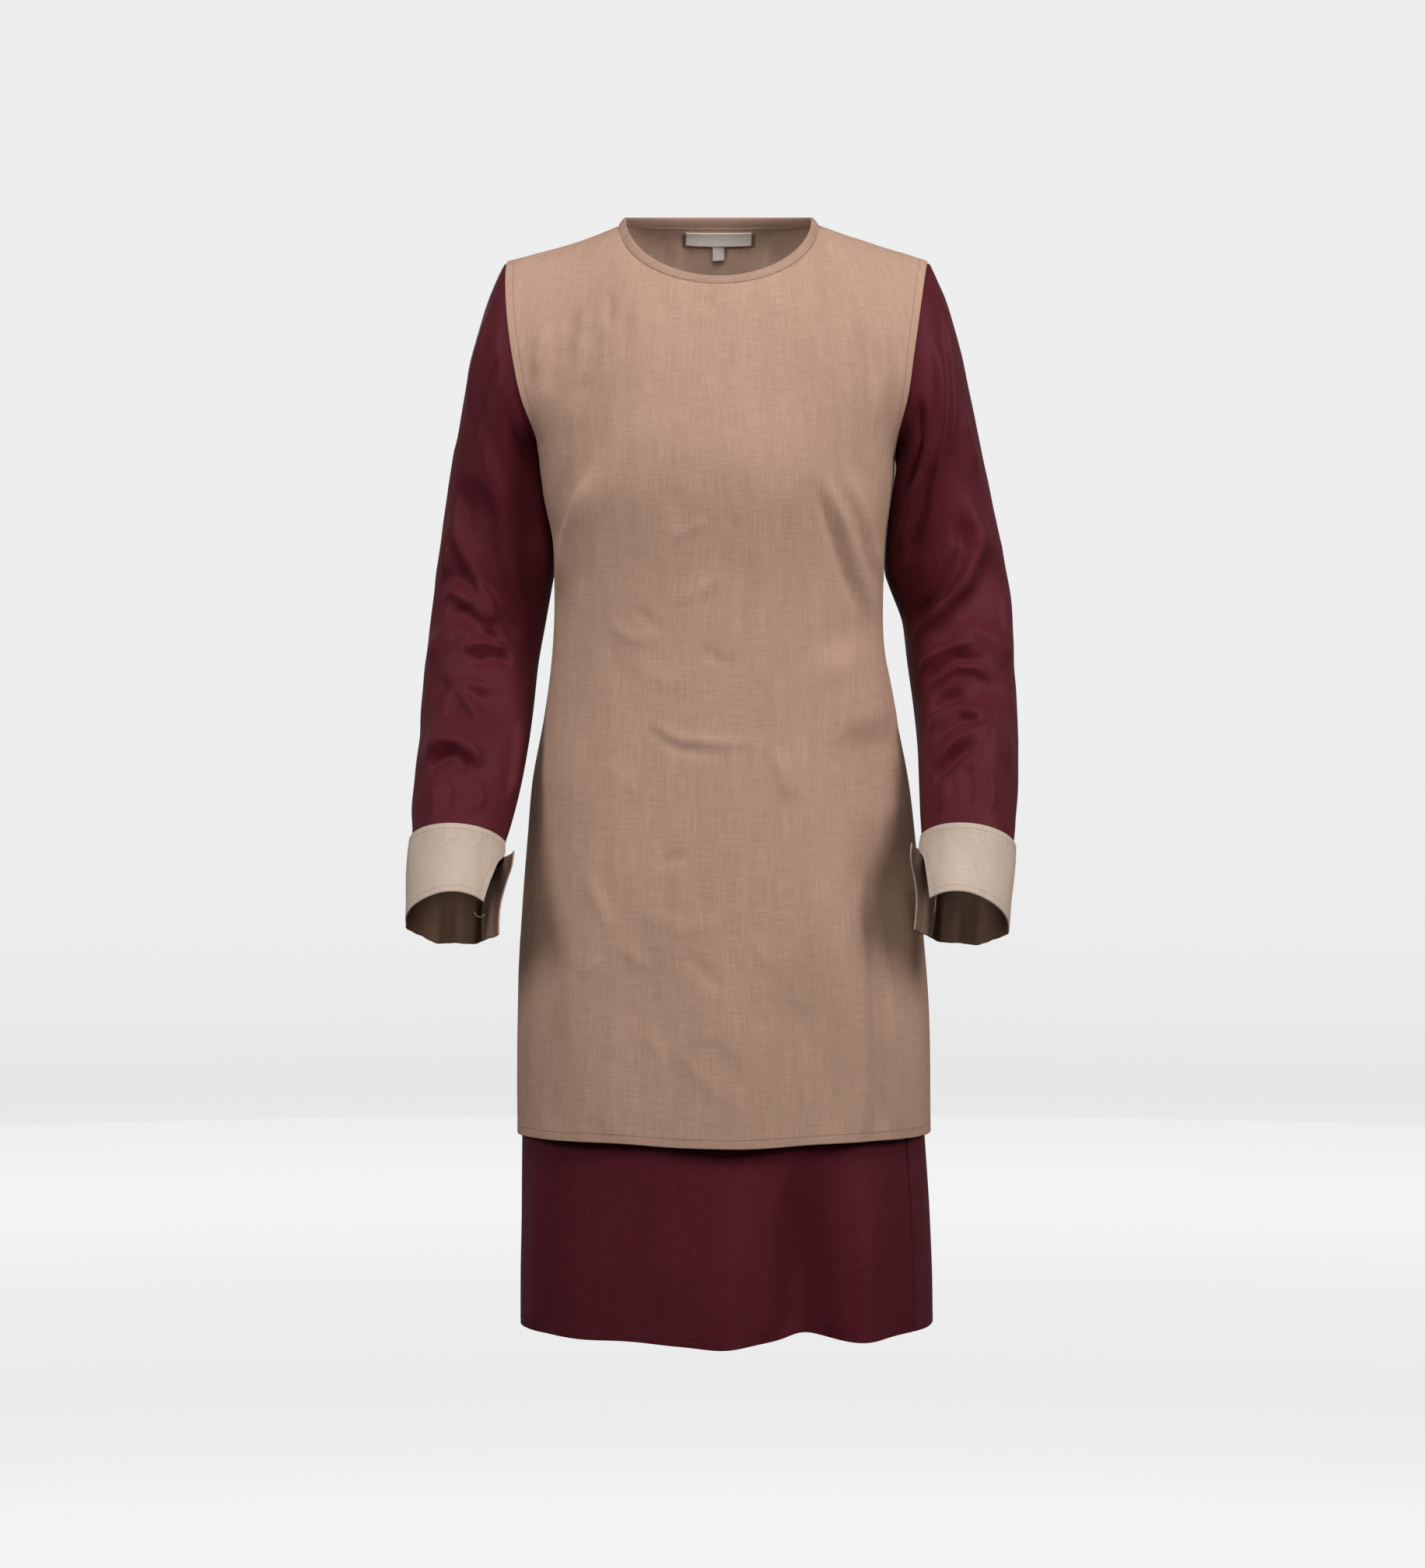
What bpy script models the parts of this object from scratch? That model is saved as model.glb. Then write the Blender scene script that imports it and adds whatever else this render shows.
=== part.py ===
"""A layered abaya tunic dress in the hollow form it has when worn, with no wearer inside.

Sizes are metres, +Z is up and the front faces -Y. The origin is the middle of the neck opening,
at shoulder height, where the wearer holds the garment. "left" is the -X side, "right" the +X side.
Every piece is a thin wall of cloth between an outer grid of points and an inner one.
"""

import math
from collections import namedtuple

import bmesh
import bpy
import numpy as np

# Cloth
OVER_WALL = 0.0013
SLEEVE_WALL = 0.0012
SKIRT_WALL = 0.0012
CUFF_WALL = 0.0020
LABEL_WALL = 0.0010
SEAM = 0.0003

# Heights of the over-layer and of the skirt
HEM_Z = -0.852
UNDERARM_Z = -0.215
SKIRT_HEM_Z = -1.033
SQUARENESS = 2.3

# Grid of the over-layer: columns run round half the body, rows run from hem to shoulder
HEM_TURN = 0.02
COLUMNS = 26
SHOULDER_COLUMNS = 6
LOWER_ROWS = 18
UPPER_ROWS = 10
SKIRT_HIDDEN_ROWS = 5
SKIRT_SHOWN_ROWS = 6

# Level sections: half widths to each side seam, and how far the front and back stand out
Section = namedtuple("Section", "z left right front back")
OVER_SECTIONS = (
    Section(-0.852, 0.1910, 0.2008, 0.136, 0.126),
    Section(-0.727, 0.1902, 0.1988, 0.131, 0.123),
    Section(-0.644, 0.1865, 0.1924, 0.127, 0.120),
    Section(-0.574, 0.1813, 0.1865, 0.122, 0.115),
    Section(-0.519, 0.1765, 0.1798, 0.118, 0.108),
    Section(-0.459, 0.1655, 0.1680, 0.114, 0.099),
    Section(-0.398, 0.1578, 0.1572, 0.112, 0.092),
    Section(-0.332, 0.1556, 0.1558, 0.114, 0.091),
    Section(-0.295, 0.1570, 0.1574, 0.118, 0.093),
    Section(-0.250, 0.1662, 0.1642, 0.121, 0.097),
    Section(-0.215, 0.1716, 0.1676, 0.119, 0.101),
)
SKIRT_SECTIONS = (
    Section(-1.033, 0.1875, 0.2035, 0.130, 0.122),
    Section(-0.988, 0.1878, 0.2028, 0.128, 0.121),
    Section(-0.927, 0.1872, 0.2004, 0.126, 0.119),
    Section(-0.852, 0.1866, 0.1954, 0.124, 0.117),
)

# Armhole edge, from the underarm up to the shoulder tip: x on each side, y in front and behind
Armhole = namedtuple("Armhole", "z left right fore aft")
ARMHOLE = (
    Armhole(-0.215, 0.1716, 0.1676, 0.000, 0.000),
    Armhole(-0.197, 0.1722, 0.1680, 0.042, 0.036),
    Armhole(-0.162, 0.1850, 0.1765, 0.062, 0.056),
    Armhole(-0.120, 0.1935, 0.1825, 0.064, 0.060),
    Armhole(-0.078, 0.1990, 0.1888, 0.054, 0.053),
    Armhole(-0.046, 0.2010, 0.1940, 0.036, 0.037),
    Armhole(-0.029, 0.2008, 0.1975, 0.015, 0.016),
    Armhole(-0.0255, 0.1997, 0.1985, 0.000, 0.000),
)
LEFT_SHOULDER_SAG = 0.0030
RIGHT_SHOULDER_SAG = 0.0004

# Neck: the seam where the binding meets the panels, and the binding's open edge
NeckRing = namedtuple("NeckRing", "half_width front back side_z front_z back_z")
NECK_SEAM = NeckRing(0.0945, 0.084, 0.066, 0.0085, -0.0593, 0.0180)
NECK_EDGE = NeckRing(0.0882, 0.078, 0.061, 0.0160, -0.0509, 0.0262)
NECK_FRONT_FULLNESS = 0.80
BINDING_THICK = 0.0024
BINDING_PROUD = 0.0005
NECK_GAP = 0.0006

# How each panel rises out of the chest line, and the (inward, upward) way it arrives at its top
# edge: at the shoulder tip, at the point where shoulder and neck meet, and at the middle
RISE_PULL = 1.0
Arrival = namedtuple("Arrival", "tip neck_point middle")
FRONT_ARRIVAL = Arrival((1.05, 0.06), (0.95, 0.42), (0.42, 0.90))
BACK_ARRIVAL = Arrival((0.95, 0.06), (0.95, -0.13), (0.72, 0.62))

# Folds of a panel, from a top point to a bottom point, with the ridge height (troughs negative)
# and how much of the length is faded at each end
Fold = namedtuple("Fold", "x_top z_top x_bottom z_bottom width height fade_top fade_bottom")
SKIRT_HEM_FALL = 0.30
FRONT_FOLDS = (
    Fold(-0.104, -0.205, -0.146, -0.370, 0.042, 0.0080, 0.4, 0.5),
    Fold(-0.082, -0.240, -0.108, -0.370, 0.048, -0.0045, 0.4, 0.5),
    Fold(0.108, -0.225, 0.146, -0.380, 0.042, 0.0080, 0.4, 0.5),
    Fold(0.086, -0.250, 0.110, -0.370, 0.048, -0.0045, 0.4, 0.5),
    Fold(0.156, -0.545, 0.158, -0.745, 0.054, -0.0140, 0.4, 0.6),
    Fold(0.112, -0.560, 0.118, -0.852, 0.055, 0.0045, 0.5, 0.0),
    Fold(0.172, -0.720, 0.170, -0.852, 0.040, 0.0035, 0.5, 0.0),
    Fold(0.078, -0.640, 0.080, -0.852, 0.060, -0.0050, 0.6, 0.0),
    Fold(0.015, -0.640, 0.012, -0.852, 0.075, 0.0050, 0.6, 0.0),
    Fold(-0.060, -0.600, -0.062, -0.852, 0.070, -0.0035, 0.6, 0.0),
    Fold(-0.135, -0.560, -0.140, -0.852, 0.060, 0.0040, 0.5, 0.0),
)
BACK_FOLDS = (
    Fold(-0.060, -0.260, -0.074, -0.560, 0.045, -0.0050, 0.4, 0.5),
    Fold(-0.112, -0.230, -0.118, -0.480, 0.040, 0.0045, 0.5, 0.5),
    Fold(0.064, -0.280, 0.072, -0.590, 0.045, -0.0050, 0.4, 0.5),
    Fold(0.115, -0.240, 0.110, -0.470, 0.040, 0.0045, 0.5, 0.5),
    Fold(-0.105, -0.600, -0.112, -0.852, 0.060, 0.0050, 0.6, 0.0),
    Fold(-0.030, -0.620, -0.028, -0.852, 0.070, -0.0045, 0.6, 0.0),
    Fold(0.045, -0.600, 0.050, -0.852, 0.065, 0.0050, 0.6, 0.0),
    Fold(0.125, -0.640, 0.132, -0.852, 0.055, -0.0040, 0.6, 0.0),
)
SKIRT_FRONT_FOLDS = (
    Fold(0.018, -0.820, 0.012, -1.033, 0.058, 0.0150, 0.9, 0.0),
    Fold(-0.026, -0.830, -0.036, -1.033, 0.070, 0.0080, 0.8, 0.0),
    Fold(0.076, -0.820, 0.078, -1.033, 0.054, -0.0150, 0.8, 0.0),
    Fold(0.128, -0.830, 0.131, -1.033, 0.050, 0.0110, 0.7, 0.0),
    Fold(-0.120, -0.850, -0.125, -1.033, 0.055, 0.0030, 0.7, 0.0),
)
SKIRT_BACK_FOLDS = (
    Fold(-0.120, -0.840, -0.126, -1.033, 0.050, 0.0070, 0.7, 0.0),
    Fold(-0.045, -0.840, -0.048, -1.033, 0.055, -0.0100, 0.7, 0.0),
    Fold(0.030, -0.840, 0.034, -1.033, 0.050, 0.0110, 0.7, 0.0),
    Fold(0.105, -0.840, 0.112, -1.033, 0.055, -0.0080, 0.7, 0.0),
)
SIDE_QUIET = 0.07

# Skirt seams, as columns of the ring that starts at the left side and runs round the front
SKIRT_GAP = 0.0005
SKIRT_RIGHT_SEAM = 22
SKIRT_LEFT_SEAM = 48

# Side vents of the over-layer
VENT_ROWS = 1
VENT_GAP = 0.0022

# Sleeve sections below the upper arm: centre, half width across and half depth front to back
Arm = namedtuple("Arm", "z x y across deep")
LEFT_ARM = (
    Arm(-0.670, -0.2425, -0.133, 0.0420, 0.0430),
    Arm(-0.650, -0.2424, -0.122, 0.0422, 0.0432),
    Arm(-0.591, -0.2418, -0.092, 0.0430, 0.0434),
    Arm(-0.575, -0.2410, -0.084, 0.0432, 0.0436),
    Arm(-0.552, -0.2388, -0.071, 0.0466, 0.0462),
    Arm(-0.520, -0.2350, -0.051, 0.0498, 0.0490),
    Arm(-0.480, -0.2305, -0.026, 0.0515, 0.0510),
    Arm(-0.440, -0.2282, -0.002, 0.0530, 0.0530),
    Arm(-0.400, -0.2250, 0.015, 0.0535, 0.0550),
    Arm(-0.355, -0.2190, 0.024, 0.0550, 0.0565),
    Arm(-0.310, -0.2122, 0.026, 0.0560, 0.0580),
)
RIGHT_ARM = (
    Arm(-0.670, 0.2180, -0.133, 0.0420, 0.0430),
    Arm(-0.650, 0.2205, -0.122, 0.0425, 0.0432),
    Arm(-0.591, 0.2284, -0.092, 0.0427, 0.0434),
    Arm(-0.575, 0.2304, -0.084, 0.0428, 0.0436),
    Arm(-0.552, 0.2320, -0.071, 0.0448, 0.0462),
    Arm(-0.520, 0.2338, -0.051, 0.0465, 0.0490),
    Arm(-0.480, 0.2345, -0.026, 0.0475, 0.0510),
    Arm(-0.440, 0.2332, -0.002, 0.0490, 0.0530),
    Arm(-0.400, 0.2306, 0.015, 0.0510, 0.0550),
    Arm(-0.355, 0.2275, 0.024, 0.0535, 0.0565),
    Arm(-0.310, 0.2175, 0.026, 0.0562, 0.0580),
)
UPPER_ARM_Z = -0.310
WRIST_Z = -0.575
SLEEVE_END_Z = -0.589
HEAD_RINGS = 8
ARM_RINGS = 10
ARMHOLE_TUCK = (0.0, 0.25, 0.55, 0.8)
ARMHOLE_TUCK_MOST = 0.95
TUCK_GAP = 0.0010
UNDERARM_LIFT = 0.0006
HEAD_LIP = 0.003
HEAD_OUT = 0.55
HEAD_DOWN = 0.85
HEAD_PULL = 0.80
UNDERARM_UP = 0.25
UNDERARM_OUT = 0.95
UNDERARM_PULL = 0.36

# Folds of a sleeve: degrees round from the body side through the front, and heights
ArmFold = namedtuple("ArmFold", "turn_top z_top turn_bottom z_bottom width height")
ARM_FOLDS = (
    ArmFold(150, -0.310, 50, -0.420, 0.036, -0.0070),
    ArmFold(70, -0.380, 160, -0.420, 0.034, 0.0060),
    ArmFold(40, -0.480, 150, -0.450, 0.034, -0.0065),
    ArmFold(60, -0.520, 150, -0.500, 0.034, 0.0050),
    ArmFold(300, -0.360, 220, -0.430, 0.036, -0.0050),
    ArmFold(290, -0.470, 220, -0.500, 0.036, 0.0040),
)

# Cuffs: a band round the sleeve end, parted on the side towards the body
CuffRow = namedtuple("CuffRow", "z front_end rear_end flare")
CUFF_ROWS = (
    CuffRow(-0.579, 12.0, 352.0, 0.0072),
    CuffRow(-0.591, 12.0, 352.0, 0.0064),
    CuffRow(-0.604, 28.0, 338.0, 0.0052),
    CuffRow(-0.618, 36.0, 330.0, 0.0040),
    CuffRow(-0.634, 43.0, 328.0, 0.0032),
    CuffRow(-0.650, 48.0, 330.0, 0.0026),
)
CUFF_FLARE_TURN = 32.0
CUFF_EASE = 0.0006

# Neck label and size tab, down the inside of the back panel from the neck seam
LABEL_HALF_WIDTH = 0.0325
LABEL_DOWN = 0.0065
LABEL_TALL = 0.0160
TAB_HALF_WIDTH = 0.0056
TAB_TALL = 0.0145
LABEL_EASE = 0.0005


def finish(name, colour, roughness):
    """A cloth finish with its colour, roughness and metallic value."""
    material = bpy.data.materials.new(name)
    material.use_nodes = True
    shader = material.node_tree.nodes["Principled BSDF"]
    shader.inputs["Base Color"].default_value = (*colour, 1.0)
    shader.inputs["Roughness"].default_value = roughness
    shader.inputs["Metallic"].default_value = 0.0
    material.diffuse_color = (*colour, 1.0)
    return material


def smooth(knots, values, at):
    """Values at the places `at`, on a cubic curve through the knots."""
    knots = np.asarray(knots, float)
    values = np.asarray(values, float)
    at = np.atleast_1d(np.asarray(at, float))
    slope = np.gradient(values, knots, axis=0)
    i = np.clip(np.searchsorted(knots, at, side="right") - 1, 0, len(knots) - 2)
    step = (knots[i + 1] - knots[i])[:, None]
    t = ((at - knots[i]) / step[:, 0])[:, None]
    return cubic(values[i], slope[i] * step, values[i + 1], slope[i + 1] * step, t)


def cubic(start, leave, end, arrive, t):
    """A point at part t of a curve that leaves `start` and arrives at `end` in given directions."""
    near = (1 + 2 * t) * (1 - t) ** 2
    far = t ** 2 * (3 - 2 * t)
    return near * start + t * (1 - t) ** 2 * leave + far * end - t ** 2 * (1 - t) * arrive


def unit(vectors):
    """The vectors at length one."""
    return vectors / np.maximum(np.linalg.norm(vectors, axis=-1, keepdims=True), 1e-12)


def ease(t):
    """A soft step from 0 to 1."""
    t = np.clip(t, 0.0, 1.0)
    return t * t * (3 - 2 * t)


def read_sections(sections, heights):
    """Rows of left, right, front and back at any heights, from a table of sections."""
    table = sorted(sections)
    return smooth([row.z for row in table], [row[1:] for row in table], heights)


def stations():
    """Places of the columns along half a section, with a narrow column for the turned edge."""
    middle = np.linspace(HEM_TURN, 1.0 - HEM_TURN, COLUMNS - 1)
    return np.concatenate([[0.0], middle, [1.0]])


def half_section(row, z, facing):
    """Half of a level section, from the left side seam to the right, at even lengths of cloth."""
    left, right, front, back = row
    turn = np.linspace(0.0, math.pi, 361)
    across = np.sign(np.cos(turn)) * np.abs(np.cos(turn)) ** (2.0 / SQUARENESS)
    out = np.sin(turn).clip(0.0) ** (2.0 / SQUARENESS)
    x = np.where(across > 0, -left * across, -right * across)
    y = facing * (front if facing < 0 else back) * out
    length = np.concatenate([[0.0], np.cumsum(np.hypot(np.diff(x), np.diff(y)))])
    place = stations() * length[-1]
    return np.column_stack([np.interp(place, length, x), np.interp(place, length, y),
                            np.full(len(place), z)])


def neck_point(ring, facing, turn):
    """A point of a neck ring, `turn` radians from its left end through the front or the back."""
    out = np.abs(np.sin(turn))
    depth, end_z = (ring.front, ring.front_z) if facing < 0 else (ring.back, ring.back_z)
    reach = depth * out ** (NECK_FRONT_FULLNESS if facing < 0 else 1.0)
    return np.stack([-ring.half_width * np.cos(turn), facing * reach,
                     ring.side_z + (end_z - ring.side_z) * out], axis=-1)


def top_edge(facing):
    """The panel's top edge: shoulder, neckline, shoulder."""
    tip = ARMHOLE[-1]
    neck = COLUMNS - 2 * SHOULDER_COLUMNS
    line = neck_point(NECK_SEAM, facing, np.linspace(0.0, math.pi, neck + 1))
    part = (stations()[:SHOULDER_COLUMNS + 1] / stations()[SHOULDER_COLUMNS])[:, None]
    sag = np.sin(math.pi * part) * np.array([0.0, 0.0, -1.0])
    left = (1 - part) * np.array([-tip.left, 0.0, tip.z]) + part * line[0]
    left = left + sag * LEFT_SHOULDER_SAG
    right = (1 - part) * np.array([tip.right, 0.0, tip.z]) + part * line[-1]
    right = right + sag * RIGHT_SHOULDER_SAG
    return np.vstack([left, line[1:-1], right[::-1]])


def armhole_edge(side, facing, parts):
    """The armhole's edge on one side and one panel, at parts of its length from the underarm."""
    x = [row.left if side < 0 else row.right for row in ARMHOLE]
    y = [row.fore if facing < 0 else row.aft for row in ARMHOLE]
    points = np.column_stack([side * np.array(x), facing * np.array(y), [r.z for r in ARMHOLE]])
    steps = np.linalg.norm(np.diff(points, axis=0), axis=1)
    length = np.concatenate([[0.0], np.cumsum(steps)])
    return smooth(length / length[-1], points, parts)


def upper_patch(facing, rows):
    """The chest or upper back, from the underarm level to the shoulders and the neck seam."""
    step = 0.004
    levels = read_sections(OVER_SECTIONS, [UNDERARM_Z, UNDERARM_Z - step])
    base = half_section(levels[0], UNDERARM_Z, facing)
    below = half_section(levels[1], UNDERARM_Z - step, facing)
    top = top_edge(facing)
    length = np.linalg.norm(top - base, axis=1, keepdims=True)
    rise = unit(base - below) * length * RISE_PULL
    s = stations()
    reach = s[SHOULDER_COLUMNS]
    from_tip = np.minimum(s, 1 - s)[:, None]
    tip, neck_way, middle = (FRONT_ARRIVAL if facing < 0 else BACK_ARRIVAL)
    on_shoulder = from_tip / reach
    round_neck = ease((from_tip - reach) / (0.5 - reach))
    shoulder_way = (1 - on_shoulder) * np.array(tip) + on_shoulder * np.array(neck_way)
    neckline_way = (1 - round_neck) * np.array(neck_way) + round_neck * np.array(middle)
    arrival = np.where(on_shoulder < 1, shoulder_way, neckline_way)
    arrive = np.column_stack([np.zeros(len(s)), -facing * arrival[:, 0], arrival[:, 1]]) * length
    parts = np.linspace(0.0, 1.0, rows + 1)
    patch = np.array([cubic(base, rise, top, arrive, t) for t in parts])
    for side, edge, near in ((-1, 0, s), (1, -1, 1 - s)):
        miss = armhole_edge(side, facing, parts) - patch[:, edge]
        fade = ((1 - near / 0.30).clip(0.0) ** 2)[None, :, None]
        patch = patch + miss[:, None, :] * fade
    return patch


def relief(points, folds, level=0.0):
    """How far folds lift the cloth at each point."""
    lift = np.full(points.shape[:-1], level)
    for fold in folds:
        start = np.array([fold.x_top, fold.z_top])
        run = np.array([fold.x_bottom, fold.z_bottom]) - start
        away = points[..., [0, 2]] - start
        along = (away @ run / (run @ run)).clip(0.0, 1.0)
        gap = np.linalg.norm(away - along[..., None] * run, axis=-1)
        body = np.exp(-(gap / (0.5 * fold.width)) ** 2)
        fade_in = ease(along / fold.fade_top) if fold.fade_top else 1.0
        fade_out = ease((1 - along) / fold.fade_bottom) if fold.fade_bottom else 1.0
        lift = lift + fold.height * body * fade_in * fade_out
    return lift


def grid_normals(grid, sign=1.0, ring=False):
    """Unit normals of a grid of points; a ring's columns join end to end."""
    if ring:
        around = np.roll(grid, -1, axis=1) - np.roll(grid, 1, axis=1)
    else:
        around = np.gradient(grid, axis=1)
    return unit(np.cross(around, np.gradient(grid, axis=0))) * sign


def over_panel(facing):
    """Outer points of the over-layer's front (facing -1) or back (facing 1), hem to top."""
    heights = np.linspace(HEM_Z, UNDERARM_Z, LOWER_ROWS + 1)
    rows = read_sections(OVER_SECTIONS, heights)
    lower = np.array([half_section(row, z, facing) for row, z in zip(rows, heights)])
    grid = np.vstack([lower[:-1], upper_patch(facing, UPPER_ROWS)])
    s = stations()
    quiet = ease(np.minimum(s, 1 - s) / SIDE_QUIET)[None, :]
    folds = FRONT_FOLDS if facing < 0 else BACK_FOLDS
    lift = (relief(grid, folds) * quiet)[..., None]
    return grid + grid_normals(grid, -facing) * lift


def over_layer():
    """Outer points and shared normals of both panels."""
    front = over_panel(-1)
    back = over_panel(1)
    front_n = grid_normals(front, 1.0)
    back_n = grid_normals(back, -1.0)
    shoulders = list(range(SHOULDER_COLUMNS + 1)) + list(range(COLUMNS - SHOULDER_COLUMNS,
                                                                COLUMNS + 1))
    side_rows = range(LOWER_ROWS + 1)
    shared = [(row, column) for row in side_rows for column in (0, COLUMNS)]
    shared += [(LOWER_ROWS + UPPER_ROWS, column) for column in shoulders]
    for row, column in shared:
        both = unit(front_n[row, column] + back_n[row, column])
        front_n[row, column] = both
        back_n[row, column] = both
    return front, front_n, back, back_n


def trim_panel(grid):
    """Draw a panel's side and shoulder edges back from the seams, and open its side vents."""
    trimmed = grid.copy()
    for edge, inner in ((0, 1), (-1, -2)):
        inward = unit(grid[:, inner] - grid[:, edge])
        back_off = np.full(len(grid), SEAM / 2)
        back_off[:VENT_ROWS] = VENT_GAP / 2
        back_off[LOWER_ROWS + 1:] = 0.0
        trimmed[:, edge] += inward * back_off[:, None]
    shoulders = np.r_[0:SHOULDER_COLUMNS + 1, COLUMNS - SHOULDER_COLUMNS:COLUMNS + 1]
    down = unit(grid[-2, shoulders] - grid[-1, shoulders])
    trimmed[-1, shoulders] += down * SEAM / 2
    return trimmed


def solid(name, rows, faces, material):
    """A named closed body from its points and faces, with its faces turned out."""
    mesh = bpy.data.meshes.new(name)
    mesh.from_pydata([tuple(map(float, p)) for p in rows], [], faces)
    work = bmesh.new()
    work.from_mesh(mesh)
    bmesh.ops.recalc_face_normals(work, faces=work.faces)
    work.to_mesh(mesh)
    work.free()
    mesh.shade_smooth()
    mesh.set_sharp_from_angle(angle=math.radians(50))
    mesh.materials.append(material)
    body = bpy.data.objects.new(name, mesh)
    bpy.context.scene.collection.objects.link(body)
    return body


def wall(name, outer, inner, material, ring=False):
    """A wall of cloth between an outer and an inner grid; a ring joins its columns end to end."""
    rows, columns = outer.shape[:2]
    count = rows * columns

    def at(layer, row, column):
        return layer * count + row * columns + column % columns

    faces = []
    for column in range(columns if ring else columns - 1):
        beside = column + 1
        for row in range(rows - 1):
            for layer in (0, 1):
                across = (at(layer, row, beside), at(layer, row + 1, column))
                first, far = at(layer, row, column), at(layer, row + 1, beside)
                side = across if layer == 0 else across[::-1]
                faces.append((first, side[0], far, side[1]))
        for row, turned in ((0, False), (rows - 1, True)):
            face = (at(1, row, column), at(1, row, beside),
                    at(0, row, beside), at(0, row, column))
            faces.append(face[::-1] if turned else face)
    if not ring:
        for column, turned in ((0, False), (columns - 1, True)):
            for row in range(rows - 1):
                face = (at(0, row, column), at(0, row + 1, column),
                        at(1, row + 1, column), at(1, row, column))
                faces.append(face[::-1] if turned else face)
    points = np.vstack([outer.reshape(-1, 3), inner.reshape(-1, 3)])
    return solid(name, points, faces, material)


def build_over_layer(layer, material):
    """The front and back panels of the over-layer."""
    front, front_n, back, back_n = layer
    outer = trim_panel(front)
    wall("over_front", outer, outer - front_n * OVER_WALL, material)
    outer = trim_panel(back)
    inner = outer - back_n * OVER_WALL
    wall("over_back", outer[:, ::-1], inner[:, ::-1], material)


def build_neck_binding(layer, material):
    """The folded band round the neck, from the neck seam to its open edge."""
    front, front_n, back, back_n = layer
    first, last = SHOULDER_COLUMNS, COLUMNS - SHOULDER_COLUMNS
    turn = np.linspace(0.0, math.pi, last - first + 1)
    seam = np.vstack([front[-1, first:last + 1], back[-1, first + 1:last][::-1]])
    normal = np.vstack([front_n[-1, first:last + 1], back_n[-1, first + 1:last][::-1]])
    edge = np.vstack([neck_point(NECK_EDGE, -1, turn), neck_point(NECK_EDGE, 1, turn)[1:-1][::-1]])
    up = unit(edge - seam)
    tall = np.linalg.norm(edge - seam, axis=1, keepdims=True)
    out = unit(normal - up * np.sum(normal * up, axis=1, keepdims=True))
    crown = BINDING_THICK * 0.4
    outside = BINDING_PROUD
    inside = BINDING_PROUD - BINDING_THICK
    along = unit(up - normal * np.sum(normal * up, axis=1, keepdims=True))
    foot = seam + along * NECK_GAP
    shape = ((tall - crown, outside), (tall, outside - crown * 0.8),
             (tall, inside + crown * 0.8), (tall - crown, inside))
    rings = np.array([foot + normal * outside] + [seam + up * rise + out * depth
                                                  for rise, depth in shape]
                     + [foot + normal * inside])
    sides, count = rings.shape[:2]
    faces = []
    for i in range(sides):
        for k in range(count):
            j, n = (i + 1) % sides, (k + 1) % count
            faces.append((i * count + k, i * count + n, j * count + n, j * count + k))
    solid("neck_binding", rings.reshape(-1, 3), faces, material)


def skirt_ring(layer):
    """Outer points of the whole skirt: its hidden top follows the over-layer's inside."""
    front, front_n, back, back_n = layer
    over = np.hstack([front[:LOWER_ROWS], back[:LOWER_ROWS, 1:-1][:, ::-1]])
    over_n = np.hstack([front_n[:LOWER_ROWS], back_n[:LOWER_ROWS, 1:-1][:, ::-1]])
    heights = np.linspace(SKIRT_HEM_Z, HEM_Z, SKIRT_SHOWN_ROWS + 1)
    rows = read_sections(SKIRT_SECTIONS, heights)
    s = stations()
    quiet = ease(np.minimum(s, 1 - s) / SIDE_QUIET)[None, :]
    halves = []
    for facing, folds in ((-1, SKIRT_FRONT_FOLDS), (1, SKIRT_BACK_FOLDS)):
        half = np.array([half_section(row, z, facing) for row, z in zip(rows, heights)])
        lift = (relief(half, folds) * quiet)[..., None]
        fall = np.array([0.0, 0.0, -SKIRT_HEM_FALL])
        halves.append(half + grid_normals(half, -facing) * lift + lift * fall)
    shown = np.hstack([halves[0], halves[1][:, 1:-1][:, ::-1]])
    hidden = []
    for row in range(1, SKIRT_HIDDEN_ROWS + 1):
        part = ease(1.0 - row / SKIRT_HIDDEN_ROWS)
        close = over[row] - over_n[row] * (OVER_WALL + SKIRT_GAP)
        loose = over[row] - (over[0] - shown[-1])
        hidden.append((1 - part) * close + part * loose)
    return np.vstack([shown, np.array(hidden)])


def build_skirt(layer, material):
    """The skirt's front and back, cut at its two side seams."""
    ring = skirt_ring(layer)
    normals = grid_normals(ring, 1.0, ring=True)
    count = ring.shape[1]
    cuts = (SKIRT_LEFT_SEAM - count, SKIRT_RIGHT_SEAM, SKIRT_LEFT_SEAM)
    for name, start, end in (("underskirt_front", cuts[0], cuts[1]),
                             ("underskirt_back", cuts[1], cuts[2])):
        columns = [column % count for column in range(start, end + 1)]
        outer = ring[:, columns].copy()
        outer[:, 0] += unit(outer[:, 1] - outer[:, 0]) * SEAM / 2
        outer[:, -1] += unit(outer[:, -2] - outer[:, -1]) * SEAM / 2
        wall(name, outer, outer - normals[:, columns] * SKIRT_WALL, material)


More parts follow.
